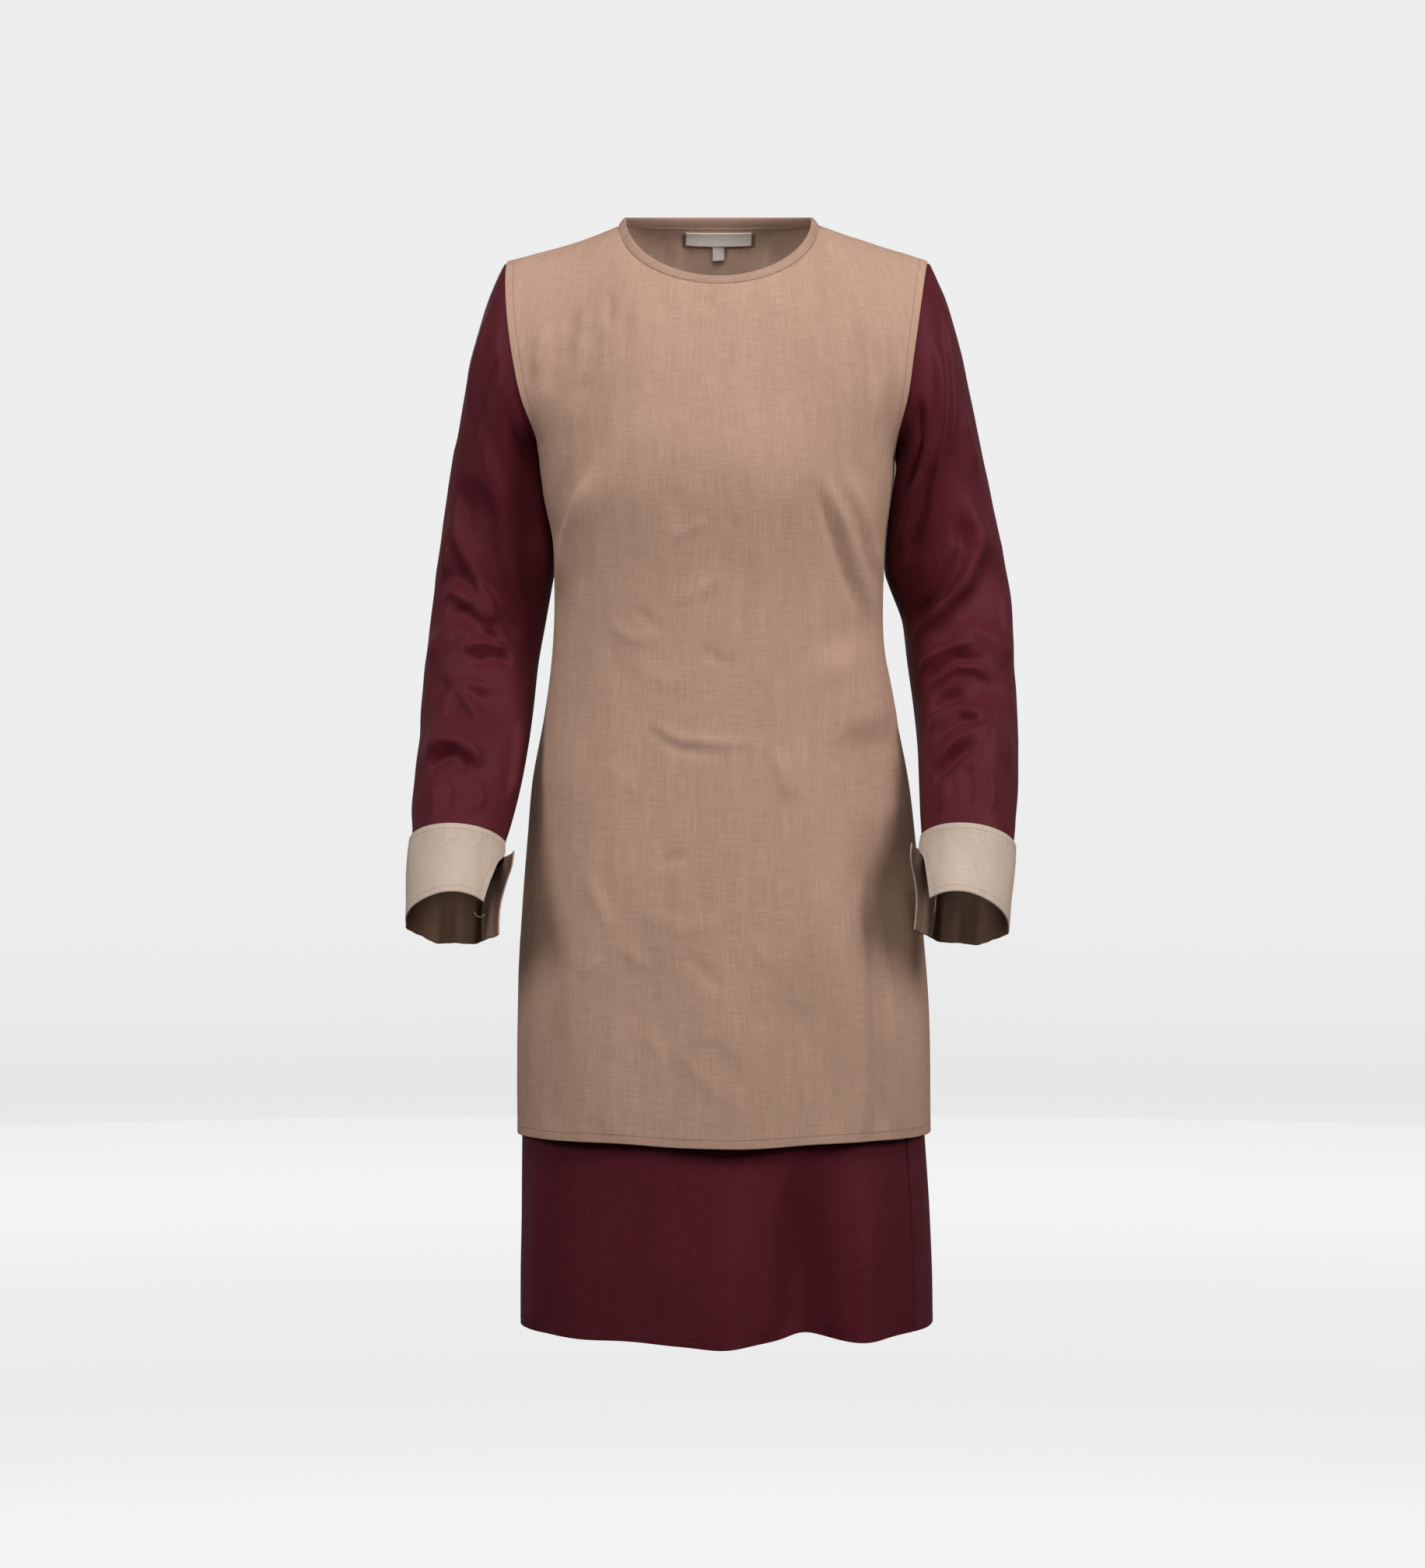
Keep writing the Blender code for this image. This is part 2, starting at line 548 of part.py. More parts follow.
def arm_frame(arm, heights):
    """Centres, sizes and ring directions of a sleeve at heights down its centre line."""
    table = sorted(arm)
    knots = [row.z for row in table]
    values = [row[1:] for row in table]
    step = 0.002
    read = smooth(knots, values, heights)
    low = smooth(knots, values, np.asarray(heights) - step)
    high = smooth(knots, values, np.asarray(heights) + step)
    drop = np.column_stack([low[:, :2] - high[:, :2], np.full(len(read), -2 * step)])
    down = unit(drop)
    centre = np.column_stack([read[:, :2], heights])
    side = -np.sign(centre[:, :1]) * np.array([[1.0, 0.0, 0.0]])
    bodyward = unit(side - down * np.sum(side * down, axis=1, keepdims=True))
    forward = np.array([[0.0, -1.0, 0.0]])
    forward = unit(forward - down * np.sum(forward * down, axis=1, keepdims=True)
                   - bodyward * np.sum(forward * bodyward, axis=1, keepdims=True))
    return centre, read[:, 2:3], read[:, 3:4], bodyward, forward, down


def arm_rings(arm, heights, turns):
    """Rings of points round a sleeve, `turns` in radians from the body side through the front."""
    centre, across, deep, bodyward, forward, down = arm_frame(arm, heights)
    cos, sin = np.cos(turns)[..., None], np.sin(turns)[..., None]
    return (centre[:, None] + cos * (across * bodyward)[:, None]
            + sin * (deep * forward)[:, None])


def arm_relief(heights, turns, radius):
    """How far the sleeve's folds lift it, at heights and turns round it."""
    lift = np.zeros(np.broadcast(heights, turns).shape)
    for fold in ARM_FOLDS:
        start = np.array([math.radians(fold.turn_top) * radius, fold.z_top])
        run = np.array([math.radians(fold.turn_bottom) * radius, fold.z_bottom]) - start
        x = turns * radius - start[0]
        z = heights - start[1]
        along = ((x * run[0] + z * run[1]) / (run @ run)).clip(0.0, 1.0)
        gap = np.hypot(x - along * run[0], z - along * run[1])
        fade = ease(along * 4) * ease((1 - along) * 4)
        lift = lift + fold.height * fade * np.exp(-(gap / (0.5 * fold.width)) ** 2)
    return lift


def armhole_loop(layer, side):
    """The armhole edge round one arm from the underarm up the front and down the back, with
    its normals, and the panel points one column in."""
    front, front_n, back, back_n = layer
    edge, inner = (0, 1) if side < 0 else (-1, -2)
    up = slice(LOWER_ROWS, None)
    down = slice(LOWER_ROWS + 1, -1)
    loop = np.vstack([front[up, edge], back[down, edge][::-1]])
    normals = np.vstack([front_n[up, edge], back_n[down, edge][::-1]])
    inside = np.vstack([front[up, inner], back[down, inner][::-1]])
    inside_n = np.vstack([front_n[up, inner], back_n[down, inner][::-1]])
    return loop, normals, inside, inside_n


def sleeve_grid(layer, side, arm):
    """Outer points of a sleeve, from under the armhole edge down to inside the cuff."""
    loop, normals, inside, inside_n = armhole_loop(layer, side)
    count = len(loop)
    tangent = unit(np.roll(loop, -1, axis=0) - np.roll(loop, 1, axis=0))
    away = unit(np.cross(normals, tangent)) * -side
    steps = np.minimum(np.arange(count), count - np.arange(count))
    tuck = np.array([ARMHOLE_TUCK[k] if k < len(ARMHOLE_TUCK) else ARMHOLE_TUCK_MOST
                     for k in steps])[:, None]
    drop = OVER_WALL + TUCK_GAP
    hidden = (loop + tuck * (inside - loop) + (1 - tuck) * away * UNDERARM_LIFT
              - unit(normals + tuck * (inside_n - normals)) * drop)
    lip = loop + away * HEAD_LIP - normals * drop
    turns = np.linspace(0.0, 2 * math.pi, count, endpoint=False)
    heights = np.append(np.linspace(UPPER_ARM_Z, WRIST_Z, ARM_RINGS), SLEEVE_END_Z)
    arm_part = arm_rings(arm, heights, turns[None, :])
    down = arm_frame(arm, [UPPER_ARM_Z])[5][0]
    under = (np.cos(turns / 2) ** 2)[:, None] ** 2
    sideways = np.array([side, 0.0, 0.0])
    leave = unit((1 - under) * (HEAD_OUT * away + HEAD_DOWN * np.array([0.0, 0.0, -1.0]))
                 + under * (UNDERARM_UP * away + UNDERARM_OUT * sideways))
    span = np.linalg.norm(arm_part[0] - lip, axis=1, keepdims=True)
    leave = leave * span * (HEAD_PULL + (UNDERARM_PULL - HEAD_PULL) * under)
    arrive = down * span * 0.95
    parts = np.linspace(0.0, 1.0, HEAD_RINGS + 1)[:-1]
    head = np.array([cubic(lip, leave, arm_part[0], arrive, t) for t in parts])
    grid = np.vstack([hidden[None], head, arm_part])
    levels = np.concatenate([[0.0], np.linspace(-0.10, UPPER_ARM_Z, HEAD_RINGS + 1)[:-1], heights])
    lift = arm_relief(levels[:, None], turns[None, :], 0.05)
    calm = ease((levels - WRIST_Z) / 0.02)[:, None]
    outward = arm_normals(grid, side)
    return grid + outward * (lift * calm)[..., None]


def arm_normals(grid, side):
    """Outward normals of a sleeve's rings."""
    return grid_normals(grid, -side, ring=True)


def build_sleeve(name, layer, side, arm, material):
    """One long sleeve."""
    outer = sleeve_grid(layer, side, arm)
    wall(name, outer, outer - arm_normals(outer, side) * SLEEVE_WALL, material, ring=True)


def build_cuff(name, side, arm, count, material):
    """One cuff, parted towards the body, its rear end standing a little away."""
    heights = np.array([row.z for row in CUFF_ROWS])
    start, end = CUFF_ROWS[0].front_end, CUFF_ROWS[0].rear_end
    step = 360.0 / count
    whole = np.arange(step, end - 1.0, step)
    place = (np.concatenate([[start], whole, [end]]) - start) / (end - start)
    degrees = np.array([row.front_end + place * (row.rear_end - row.front_end)
                        for row in CUFF_ROWS])
    turns = np.radians(degrees)
    grid = arm_rings(arm, heights, turns)
    outward = unit(grid - arm_frame(arm, heights)[0][:, None])
    inner = grid + outward * CUFF_EASE
    flare = np.array([[row.flare] for row in CUFF_ROWS])
    flare = flare * ease((degrees - degrees[:, -1:]) / CUFF_FLARE_TURN + 1.0)
    inner = inner + outward * flare[..., None]
    wall(name, inner + outward * CUFF_WALL, inner, material)


def back_point(layer, x, down):
    """A point of the back panel and its normal: x at the neck seam, then a way down the cloth."""
    back, back_n = layer[2], layer[3]
    neck = COLUMNS - 2 * SHOULDER_COLUMNS
    column = SHOULDER_COLUMNS + neck * math.acos(-x / NECK_SEAM.half_width) / math.pi
    low = int(column)
    part = column - low
    line = ((1 - part) * back[:, low] + part * back[:, low + 1])[::-1]
    normal = ((1 - part) * back_n[:, low] + part * back_n[:, low + 1])[::-1]
    length = np.concatenate([[0.0], np.cumsum(np.linalg.norm(np.diff(line, axis=0), axis=1))])
    point = [np.interp(down, length, line[:, axis]) for axis in range(3)]
    away = [np.interp(down, length, normal[:, axis]) for axis in range(3)]
    return np.array(point), unit(np.array(away))


def build_label(name, layer, half_width, down, tall, columns, material):
    """A small flat piece on the inside of the back panel."""
    outer, inner = [], []
    for way in (down + tall, down):
        pairs = [back_point(layer, x, way) for x in np.linspace(-half_width, half_width, columns)]
        near = OVER_WALL + LABEL_EASE
        outer.append([point - normal * near for point, normal in pairs])
        inner.append([point - normal * (near + LABEL_WALL) for point, normal in pairs])
    wall(name, np.array(outer), np.array(inner), material)


def main():
    """Build every piece of the garment."""
    for old in list(bpy.data.objects):
        bpy.data.objects.remove(old, do_unlink=True)
    sand = finish("sand_linen", (0.46, 0.31, 0.23), 0.85)
    edge = finish("sand_binding", (0.44, 0.30, 0.22), 0.85)
    wine = finish("burgundy_satin", (0.085, 0.012, 0.020), 0.55)
    pale = finish("pale_linen", (0.60, 0.49, 0.37), 0.85)
    blank = finish("blank_label", (0.48, 0.42, 0.35), 0.60)
    layer = over_layer()
    build_over_layer(layer, sand)
    build_neck_binding(layer, edge)
    build_skirt(layer, wine)
    for name, side, arm in (("left", -1, LEFT_ARM), ("right", 1, RIGHT_ARM)):
        build_sleeve("sleeve_" + name, layer, side, arm, wine)
        build_cuff("cuff_" + name, side, arm, 2 * UPPER_ROWS, pale)
    build_label("neck_label", layer, LABEL_HALF_WIDTH, LABEL_DOWN, LABEL_TALL, 7, blank)
    build_label("size_tab", layer, TAB_HALF_WIDTH, LABEL_DOWN + LABEL_TALL + SEAM, TAB_TALL,
                3, blank)


main()
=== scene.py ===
"""The abaya tunic dress in cloth: fine shells on the form of the solids, with creases, turned
edges, stitching, thread loops and a blank woven label, in soft studio light.

Metres, +Z up, the front faces -Y. "left" is the -X side, "right" the +X side.
"""
import math
from collections import namedtuple

import bpy
import numpy as np
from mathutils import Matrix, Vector


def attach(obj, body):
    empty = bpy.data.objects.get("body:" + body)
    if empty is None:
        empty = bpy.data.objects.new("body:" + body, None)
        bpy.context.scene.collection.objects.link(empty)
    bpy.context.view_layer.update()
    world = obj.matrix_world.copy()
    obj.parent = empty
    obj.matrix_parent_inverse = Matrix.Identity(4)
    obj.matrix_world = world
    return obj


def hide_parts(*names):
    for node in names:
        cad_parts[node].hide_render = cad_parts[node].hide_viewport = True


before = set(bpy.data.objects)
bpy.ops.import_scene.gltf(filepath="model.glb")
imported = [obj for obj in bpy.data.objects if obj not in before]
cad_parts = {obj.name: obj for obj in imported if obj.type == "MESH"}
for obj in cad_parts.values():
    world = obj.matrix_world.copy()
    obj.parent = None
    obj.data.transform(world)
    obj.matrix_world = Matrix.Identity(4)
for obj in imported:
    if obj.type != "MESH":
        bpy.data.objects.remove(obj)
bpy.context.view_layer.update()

# Form of the solids: heights of the over-layer and the skirt
HEM_Z = -0.852
UNDERARM_Z = -0.215
SKIRT_HEM_Z = -1.033
SQUARENESS = 2.3
SHOULDER_PART = 0.22
TUCK_PART = 0.02

# Level sections: half widths to each side seam, and how far the front and back stand out
Section = namedtuple("Section", "z left right front back")
OVER_SECTIONS = (
    Section(-0.852, 0.1910, 0.2008, 0.136, 0.126),
    Section(-0.727, 0.1902, 0.1988, 0.131, 0.123),
    Section(-0.644, 0.1865, 0.1924, 0.127, 0.120),
    Section(-0.574, 0.1813, 0.1865, 0.122, 0.115),
    Section(-0.519, 0.1765, 0.1798, 0.118, 0.108),
    Section(-0.459, 0.1655, 0.1680, 0.114, 0.099),
    Section(-0.398, 0.1578, 0.1572, 0.112, 0.092),
    Section(-0.332, 0.1556, 0.1558, 0.114, 0.091),
    Section(-0.295, 0.1570, 0.1574, 0.118, 0.093),
    Section(-0.250, 0.1662, 0.1642, 0.121, 0.097),
    Section(-0.215, 0.1716, 0.1676, 0.119, 0.101),
)
SKIRT_SECTIONS = (
    Section(-1.033, 0.1875, 0.2035, 0.130, 0.122),
    Section(-0.988, 0.1878, 0.2028, 0.128, 0.121),
    Section(-0.927, 0.1872, 0.2004, 0.126, 0.119),
    Section(-0.852, 0.1866, 0.1954, 0.124, 0.117),
)

# Armhole edge, from the underarm up to the shoulder tip: x on each side, y in front and behind
Armhole = namedtuple("Armhole", "z left right fore aft")
ARMHOLE = (
    Armhole(-0.215, 0.1716, 0.1676, 0.000, 0.000),
    Armhole(-0.197, 0.1722, 0.1680, 0.042, 0.036),
    Armhole(-0.162, 0.1850, 0.1765, 0.062, 0.056),
    Armhole(-0.120, 0.1935, 0.1825, 0.064, 0.060),
    Armhole(-0.078, 0.1990, 0.1888, 0.054, 0.053),
    Armhole(-0.046, 0.2010, 0.1940, 0.036, 0.037),
    Armhole(-0.029, 0.2008, 0.1975, 0.015, 0.016),
    Armhole(-0.0255, 0.1997, 0.1985, 0.000, 0.000),
)
LEFT_SHOULDER_SAG = 0.0030
RIGHT_SHOULDER_SAG = 0.0004

# Neck: the seam where the binding meets the panels, and the binding's open edge
NeckRing = namedtuple("NeckRing", "half_width front back side_z front_z back_z")
NECK_SEAM = NeckRing(0.0945, 0.084, 0.066, 0.0085, -0.0593, 0.0180)
NECK_EDGE = NeckRing(0.0882, 0.078, 0.061, 0.0160, -0.0509, 0.0262)
NECK_FRONT_FULLNESS = 0.80

# The (inward, upward) way a panel arrives at its top edge: shoulder tip, neck point, middle
Arrival = namedtuple("Arrival", "tip neck_point middle")
FRONT_ARRIVAL = Arrival((1.05, 0.06), (0.95, 0.42), (0.42, 0.90))
BACK_ARRIVAL = Arrival((0.95, 0.06), (0.95, -0.13), (0.72, 0.62))

# A fold or crease is a soft ridge along a path, or a trough where its height is negative. It
# fades away over a part of its length at each end.
Fold = namedtuple("Fold", "width height path fade_start fade_end", defaults=(0.3, 0.3))


def straight(x_top, z_top, x_bottom, z_bottom, width, height, fade_top, fade_bottom):
    """A fold that runs straight from a top point to a bottom point."""
    return Fold(width, height, ((x_top, z_top), (x_bottom, z_bottom)), fade_top, fade_bottom)


FRONT_FOLDS = (
    straight(-0.104, -0.205, -0.146, -0.370, 0.042, 0.0080, 0.4, 0.5),
    straight(-0.082, -0.240, -0.108, -0.370, 0.048, -0.0010, 0.4, 0.5),
    straight(0.108, -0.225, 0.146, -0.380, 0.042, 0.0080, 0.4, 0.5),
    straight(0.086, -0.250, 0.110, -0.370, 0.048, -0.0010, 0.4, 0.5),
    straight(0.156, -0.545, 0.158, -0.745, 0.054, -0.0140, 0.4, 0.6),
    straight(0.112, -0.560, 0.118, -0.852, 0.055, 0.0045, 0.5, 0.0),
    straight(0.172, -0.720, 0.170, -0.852, 0.040, 0.0035, 0.5, 0.0),
    straight(0.078, -0.640, 0.080, -0.852, 0.060, -0.0050, 0.6, 0.0),
    straight(0.015, -0.640, 0.012, -0.852, 0.075, 0.0050, 0.6, 0.0),
    straight(-0.060, -0.600, -0.062, -0.852, 0.070, -0.0035, 0.6, 0.0),
    straight(-0.135, -0.560, -0.140, -0.852, 0.060, 0.0040, 0.5, 0.0),
)
BACK_FOLDS = (
    straight(-0.060, -0.260, -0.074, -0.560, 0.045, -0.0050, 0.4, 0.5),
    straight(-0.112, -0.230, -0.118, -0.480, 0.040, 0.0045, 0.5, 0.5),
    straight(0.064, -0.280, 0.072, -0.590, 0.045, -0.0050, 0.4, 0.5),
    straight(0.115, -0.240, 0.110, -0.470, 0.040, 0.0045, 0.5, 0.5),
    straight(-0.105, -0.600, -0.112, -0.852, 0.060, 0.0050, 0.6, 0.0),
    straight(-0.030, -0.620, -0.028, -0.852, 0.070, -0.0045, 0.6, 0.0),
    straight(0.045, -0.600, 0.050, -0.852, 0.065, 0.0050, 0.6, 0.0),
    straight(0.125, -0.640, 0.132, -0.852, 0.055, -0.0040, 0.6, 0.0),
)
SKIRT_FRONT_FOLDS = (
    straight(0.016, -0.820, 0.006, -1.033, 0.058, 0.0160, 0.9, 0.0),
    straight(-0.026, -0.830, -0.036, -1.033, 0.070, 0.0080, 0.8, 0.0),
    straight(0.080, -0.820, 0.083, -1.033, 0.048, -0.0200, 0.8, 0.0),
    straight(0.128, -0.830, 0.131, -1.033, 0.050, 0.0110, 0.7, 0.0),
    straight(-0.120, -0.850, -0.125, -1.033, 0.055, 0.0030, 0.7, 0.0),
)
SKIRT_BACK_FOLDS = (
    straight(-0.120, -0.840, -0.126, -1.033, 0.050, 0.0070, 0.7, 0.0),
    straight(-0.045, -0.840, -0.048, -1.033, 0.055, -0.0100, 0.7, 0.0),
    straight(0.030, -0.840, 0.034, -1.033, 0.050, 0.0110, 0.7, 0.0),
    straight(0.105, -0.840, 0.112, -1.033, 0.055, -0.0080, 0.7, 0.0),
)
# The large folds fade out over this part of a panel's width beside each side seam
SIDE_QUIET = 0.07

# Skirt: how far its folds let the hem drop, the top and the gap of its part inside the
# over-layer, and its side seams in parts of the half round (the minus one is on the back)
SKIRT_HEM_FALL = 0.30
SKIRT_TOP_Z = -0.675
SKIRT_FREE_PART = 0.02
SKIRT_GAP = 0.0018
SKIRT_RIGHT_SEAM = 0.86
SKIRT_LEFT_SEAM = -0.14

# Creases that only the cloth has: short soft ridges and troughs, uneven as worn linen is
FRONT_CREASES = (
    straight(-0.101, -0.080, -0.110, -0.165, 0.012, 0.0013, 0.4, 0.5),
    straight(-0.084, -0.072, -0.090, -0.140, 0.011, -0.0010, 0.4, 0.6),
    straight(-0.070, -0.066, -0.074, -0.130, 0.012, 0.0013, 0.4, 0.6),
    straight(-0.052, -0.068, -0.056, -0.096, 0.009, -0.0021, 0.3, 0.6),
    straight(-0.034, -0.067, -0.037, -0.105, 0.010, 0.0021, 0.3, 0.6),
    straight(-0.012, -0.068, -0.013, -0.092, 0.010, -0.0017, 0.3, 0.6),
    straight(0.010, -0.068, 0.010, -0.108, 0.012, 0.0021, 0.3, 0.6),
    straight(0.034, -0.066, 0.037, -0.095, 0.009, -0.0019, 0.3, 0.6),
    straight(0.052, -0.064, 0.057, -0.104, 0.011, 0.0025, 0.3, 0.6),
    straight(0.070, -0.058, 0.077, -0.090, 0.010, -0.0019, 0.3, 0.6),
    straight(-0.160, -0.090, -0.172, -0.150, 0.014, 0.0038, 0.4, 0.4),
    straight(-0.148, -0.100, -0.158, -0.165, 0.013, -0.0030, 0.4, 0.4),
    straight(-0.133, -0.072, -0.147, -0.150, 0.011, -0.0025, 0.3, 0.4),
    straight(-0.122, -0.066, -0.134, -0.150, 0.012, 0.0017, 0.4, 0.5),
    straight(-0.100, -0.062, -0.102, -0.108, 0.009, -0.0019, 0.3, 0.4),
    straight(-0.118, -0.140, -0.140, -0.180, 0.016, -0.0023, 0.5, 0.5),
    straight(0.150, -0.075, 0.158, -0.190, 0.016, 0.0038, 0.4, 0.4),
    straight(0.138, -0.085, 0.143, -0.175, 0.015, -0.0029, 0.4, 0.5),
    straight(0.118, -0.060, 0.128, -0.140, 0.016, 0.0023, 0.4, 0.5),
    straight(0.128, -0.590, 0.134, -0.852, 0.013, 0.0024, 0.3, 0.1),
    straight(0.142, -0.580, 0.150, -0.852, 0.014, -0.0026, 0.3, 0.1),
    straight(0.158, -0.610, 0.163, -0.852, 0.012, 0.0022, 0.3, 0.1),
    straight(0.100, -0.660, 0.104, -0.852, 0.014, -0.0014, 0.4, 0.1),
    straight(-0.166, -0.560, -0.172, -0.840, 0.016, 0.0024, 0.4, 0.3),
    straight(-0.150, -0.620, -0.152, -0.852, 0.016, -0.0016, 0.4, 0.1),
    straight(-0.096, -0.700, -0.100, -0.852, 0.020, 0.0012, 0.5, 0.1),
)
# Creases of the front that bend, through (x, z) points
FRONT_BENT_CREASES = (
    Fold(0.100, 0.0060, ((-0.150, -0.222), (0.000, -0.226), (0.150, -0.222))),
    Fold(0.013, 0.0078, ((-0.116, -0.228), (-0.138, -0.294), (-0.150, -0.350))),
    Fold(0.014, -0.0030, ((-0.134, -0.215), (-0.151, -0.262), (-0.158, -0.310))),
    Fold(0.018, -0.0026, ((-0.096, -0.246), (-0.116, -0.300), (-0.130, -0.360))),
    Fold(0.012, -0.0058, ((0.086, -0.238), (0.104, -0.291), (0.131, -0.372))),
    Fold(0.011, 0.0056, ((0.097, -0.234), (0.117, -0.300), (0.139, -0.372))),
    Fold(0.011, -0.0050, ((0.108, -0.232), (0.126, -0.292), (0.145, -0.352))),
    Fold(0.012, 0.0046, ((0.121, -0.228), (0.139, -0.288), (0.152, -0.340))),
    Fold(0.056, 0.0075, ((0.108, -0.385), (0.128, -0.430), (0.140, -0.490))),
    Fold(0.010, 0.0020, ((-0.070, -0.460), (-0.040, -0.482), (0.000, -0.486), (0.036, -0.484))),
    Fold(0.010, -0.0016, ((-0.066, -0.470), (-0.038, -0.491), (0.004, -0.496))),
    Fold(0.009, 0.0020, ((0.054, -0.494), (0.058, -0.518), (0.063, -0.542))),
    Fold(0.012, 0.0010, ((-0.040, -0.356), (-0.016, -0.344), (0.008, -0.334))),
    Fold(0.016, 0.0009, ((-0.088, -0.405), (-0.060, -0.425), (-0.020, -0.432))),
    Fold(0.016, 0.0008, ((-0.110, -0.500), (-0.085, -0.520), (-0.062, -0.545))),
    Fold(0.018, -0.0008, ((0.030, -0.610), (0.052, -0.640), (0.050, -0.690))),
    Fold(0.018, 0.0008, ((-0.080, -0.640), (-0.030, -0.655), (0.020, -0.650))),
    Fold(0.014, 0.0010, ((-0.044, -0.760), (-0.018, -0.790), (0.012, -0.818))),
    Fold(0.014, -0.0009, ((-0.020, -0.752), (0.008, -0.780), (0.024, -0.812))),
    Fold(0.010, 0.0013, ((-0.046, -0.300), (-0.028, -0.290), (-0.008, -0.281))),
    Fold(0.010, -0.0012, ((-0.080, -0.357), (-0.064, -0.374), (-0.046, -0.384))),
    Fold(0.011, 0.0012, ((-0.104, -0.372), (-0.084, -0.388), (-0.058, -0.392))),
    Fold(0.010, -0.0012, ((-0.020, -0.398), (0.004, -0.412), (0.022, -0.408))),
    Fold(0.012, 0.0012, ((0.050, -0.490), (0.062, -0.512), (0.074, -0.540))),
    Fold(0.011, -0.0012, ((-0.058, -0.598), (-0.040, -0.592), (-0.022, -0.588))),
    Fold(0.012, 0.0013, ((-0.124, -0.606), (-0.108, -0.634), (-0.098, -0.664))),
    Fold(0.011, 0.0013, ((-0.094, -0.668), (-0.076, -0.684), (-0.058, -0.693))),
    Fold(0.012, -0.0014, ((-0.032, -0.674), (-0.012, -0.696), (0.008, -0.716))),
    Fold(0.011, 0.0012, ((0.022, -0.660), (0.036, -0.674), (0.050, -0.696))),
    Fold(0.010, 0.0012, ((-0.128, -0.700), (-0.116, -0.690), (-0.104, -0.682))),
    Fold(0.012, -0.0012, ((0.066, -0.720), (0.080, -0.748), (0.084, -0.780))),
    Fold(0.012, 0.0012, ((-0.070, -0.742), (-0.056, -0.770), (-0.052, -0.802))),
)
BACK_CREASES = (
    straight(-0.080, 0.000, -0.086, -0.050, 0.012, 0.0012, 0.4, 0.6),
    straight(-0.040, 0.010, -0.044, -0.045, 0.011, -0.0010, 0.3, 0.6),
    straight(0.006, 0.010, 0.006, -0.052, 0.012, 0.0011, 0.3, 0.6),
    straight(0.048, 0.008, 0.052, -0.042, 0.011, -0.0010, 0.3, 0.6),
    straight(-0.150, -0.090, -0.160, -0.180, 0.016, 0.0020, 0.4, 0.4),
    straight(0.146, -0.095, 0.154, -0.185, 0.016, 0.0020, 0.4, 0.4),
    straight(-0.130, -0.240, -0.070, -0.330, 0.018, 0.0022, 0.5, 0.5),
    straight(0.136, -0.235, 0.078, -0.340, 0.018, 0.0024, 0.5, 0.5),
    straight(-0.110, -0.395, 0.010, -0.412, 0.016, 0.0020, 0.4, 0.4),
    straight(-0.020, -0.425, 0.105, -0.408, 0.017, -0.0018, 0.4, 0.4),
    straight(-0.070, -0.455, 0.060, -0.462, 0.016, 0.0016, 0.5, 0.4),
    straight(-0.060, -0.560, -0.068, -0.852, 0.018, 0.0020, 0.5, 0.1),
    straight(0.010, -0.600, 0.006, -0.852, 0.016, -0.0016, 0.5, 0.1),
    straight(0.082, -0.560, 0.092, -0.852, 0.018, 0.0020, 0.5, 0.1),
    straight(0.150, -0.600, 0.158, -0.852, 0.015, 0.0020, 0.5, 0.1),
    straight(-0.148, -0.620, -0.154, -0.852, 0.015, -0.0018, 0.5, 0.1),
)
SKIRT_FRONT_CREASES = (
    straight(-0.168, -0.870, -0.170, -1.033, 0.014, 0.0022, 0.3, 0.1),
    straight(-0.154, -0.870, -0.155, -1.033, 0.012, -0.0014, 0.4, 0.1),
    straight(-0.095, -0.900, -0.099, -1.033, 0.018, 0.0012, 0.5, 0.2),
    straight(-0.005, -0.880, -0.010, -1.020, 0.014, -0.0012, 0.5, 0.3),
    straight(0.048, -0.870, 0.046, -1.033, 0.018, 0.0022, 0.4, 0.1),
    straight(0.066, -0.880, 0.066, -1.033, 0.016, -0.0028, 0.4, 0.1),
    straight(0.104, -0.880, 0.108, -1.033, 0.018, 0.0026, 0.4, 0.1),
    straight(0.170, -0.860, 0.174, -1.033, 0.014, 0.0016, 0.4, 0.1),
)
SKIRT_BACK_CREASES = (
    straight(-0.080, -0.880, -0.084, -1.033, 0.016, 0.0018, 0.4, 0.1),
    straight(0.066, -0.880, 0.070, -1.033, 0.016, -0.0018, 0.4, 0.1),
    straight(0.140, -0.880, 0.144, -1.033, 0.014, 0.0016, 0.4, 0.1),
)

# Sleeve sections below the upper arm: centre, half width across and half depth front to back
Arm = namedtuple("Arm", "z x y across deep")
LEFT_ARM = (
    Arm(-0.670, -0.2425, -0.133, 0.0420, 0.0430),
    Arm(-0.650, -0.2424, -0.122, 0.0422, 0.0432),
    Arm(-0.591, -0.2418, -0.092, 0.0430, 0.0434),
    Arm(-0.575, -0.2410, -0.084, 0.0432, 0.0436),
    Arm(-0.552, -0.2388, -0.071, 0.0466, 0.0462),
    Arm(-0.520, -0.2350, -0.051, 0.0498, 0.0490),
    Arm(-0.480, -0.2305, -0.026, 0.0515, 0.0510),
    Arm(-0.440, -0.2282, -0.002, 0.0530, 0.0530),
    Arm(-0.400, -0.2250, 0.015, 0.0535, 0.0550),
    Arm(-0.355, -0.2190, 0.024, 0.0550, 0.0565),
    Arm(-0.310, -0.2122, 0.026, 0.0560, 0.0580),
)
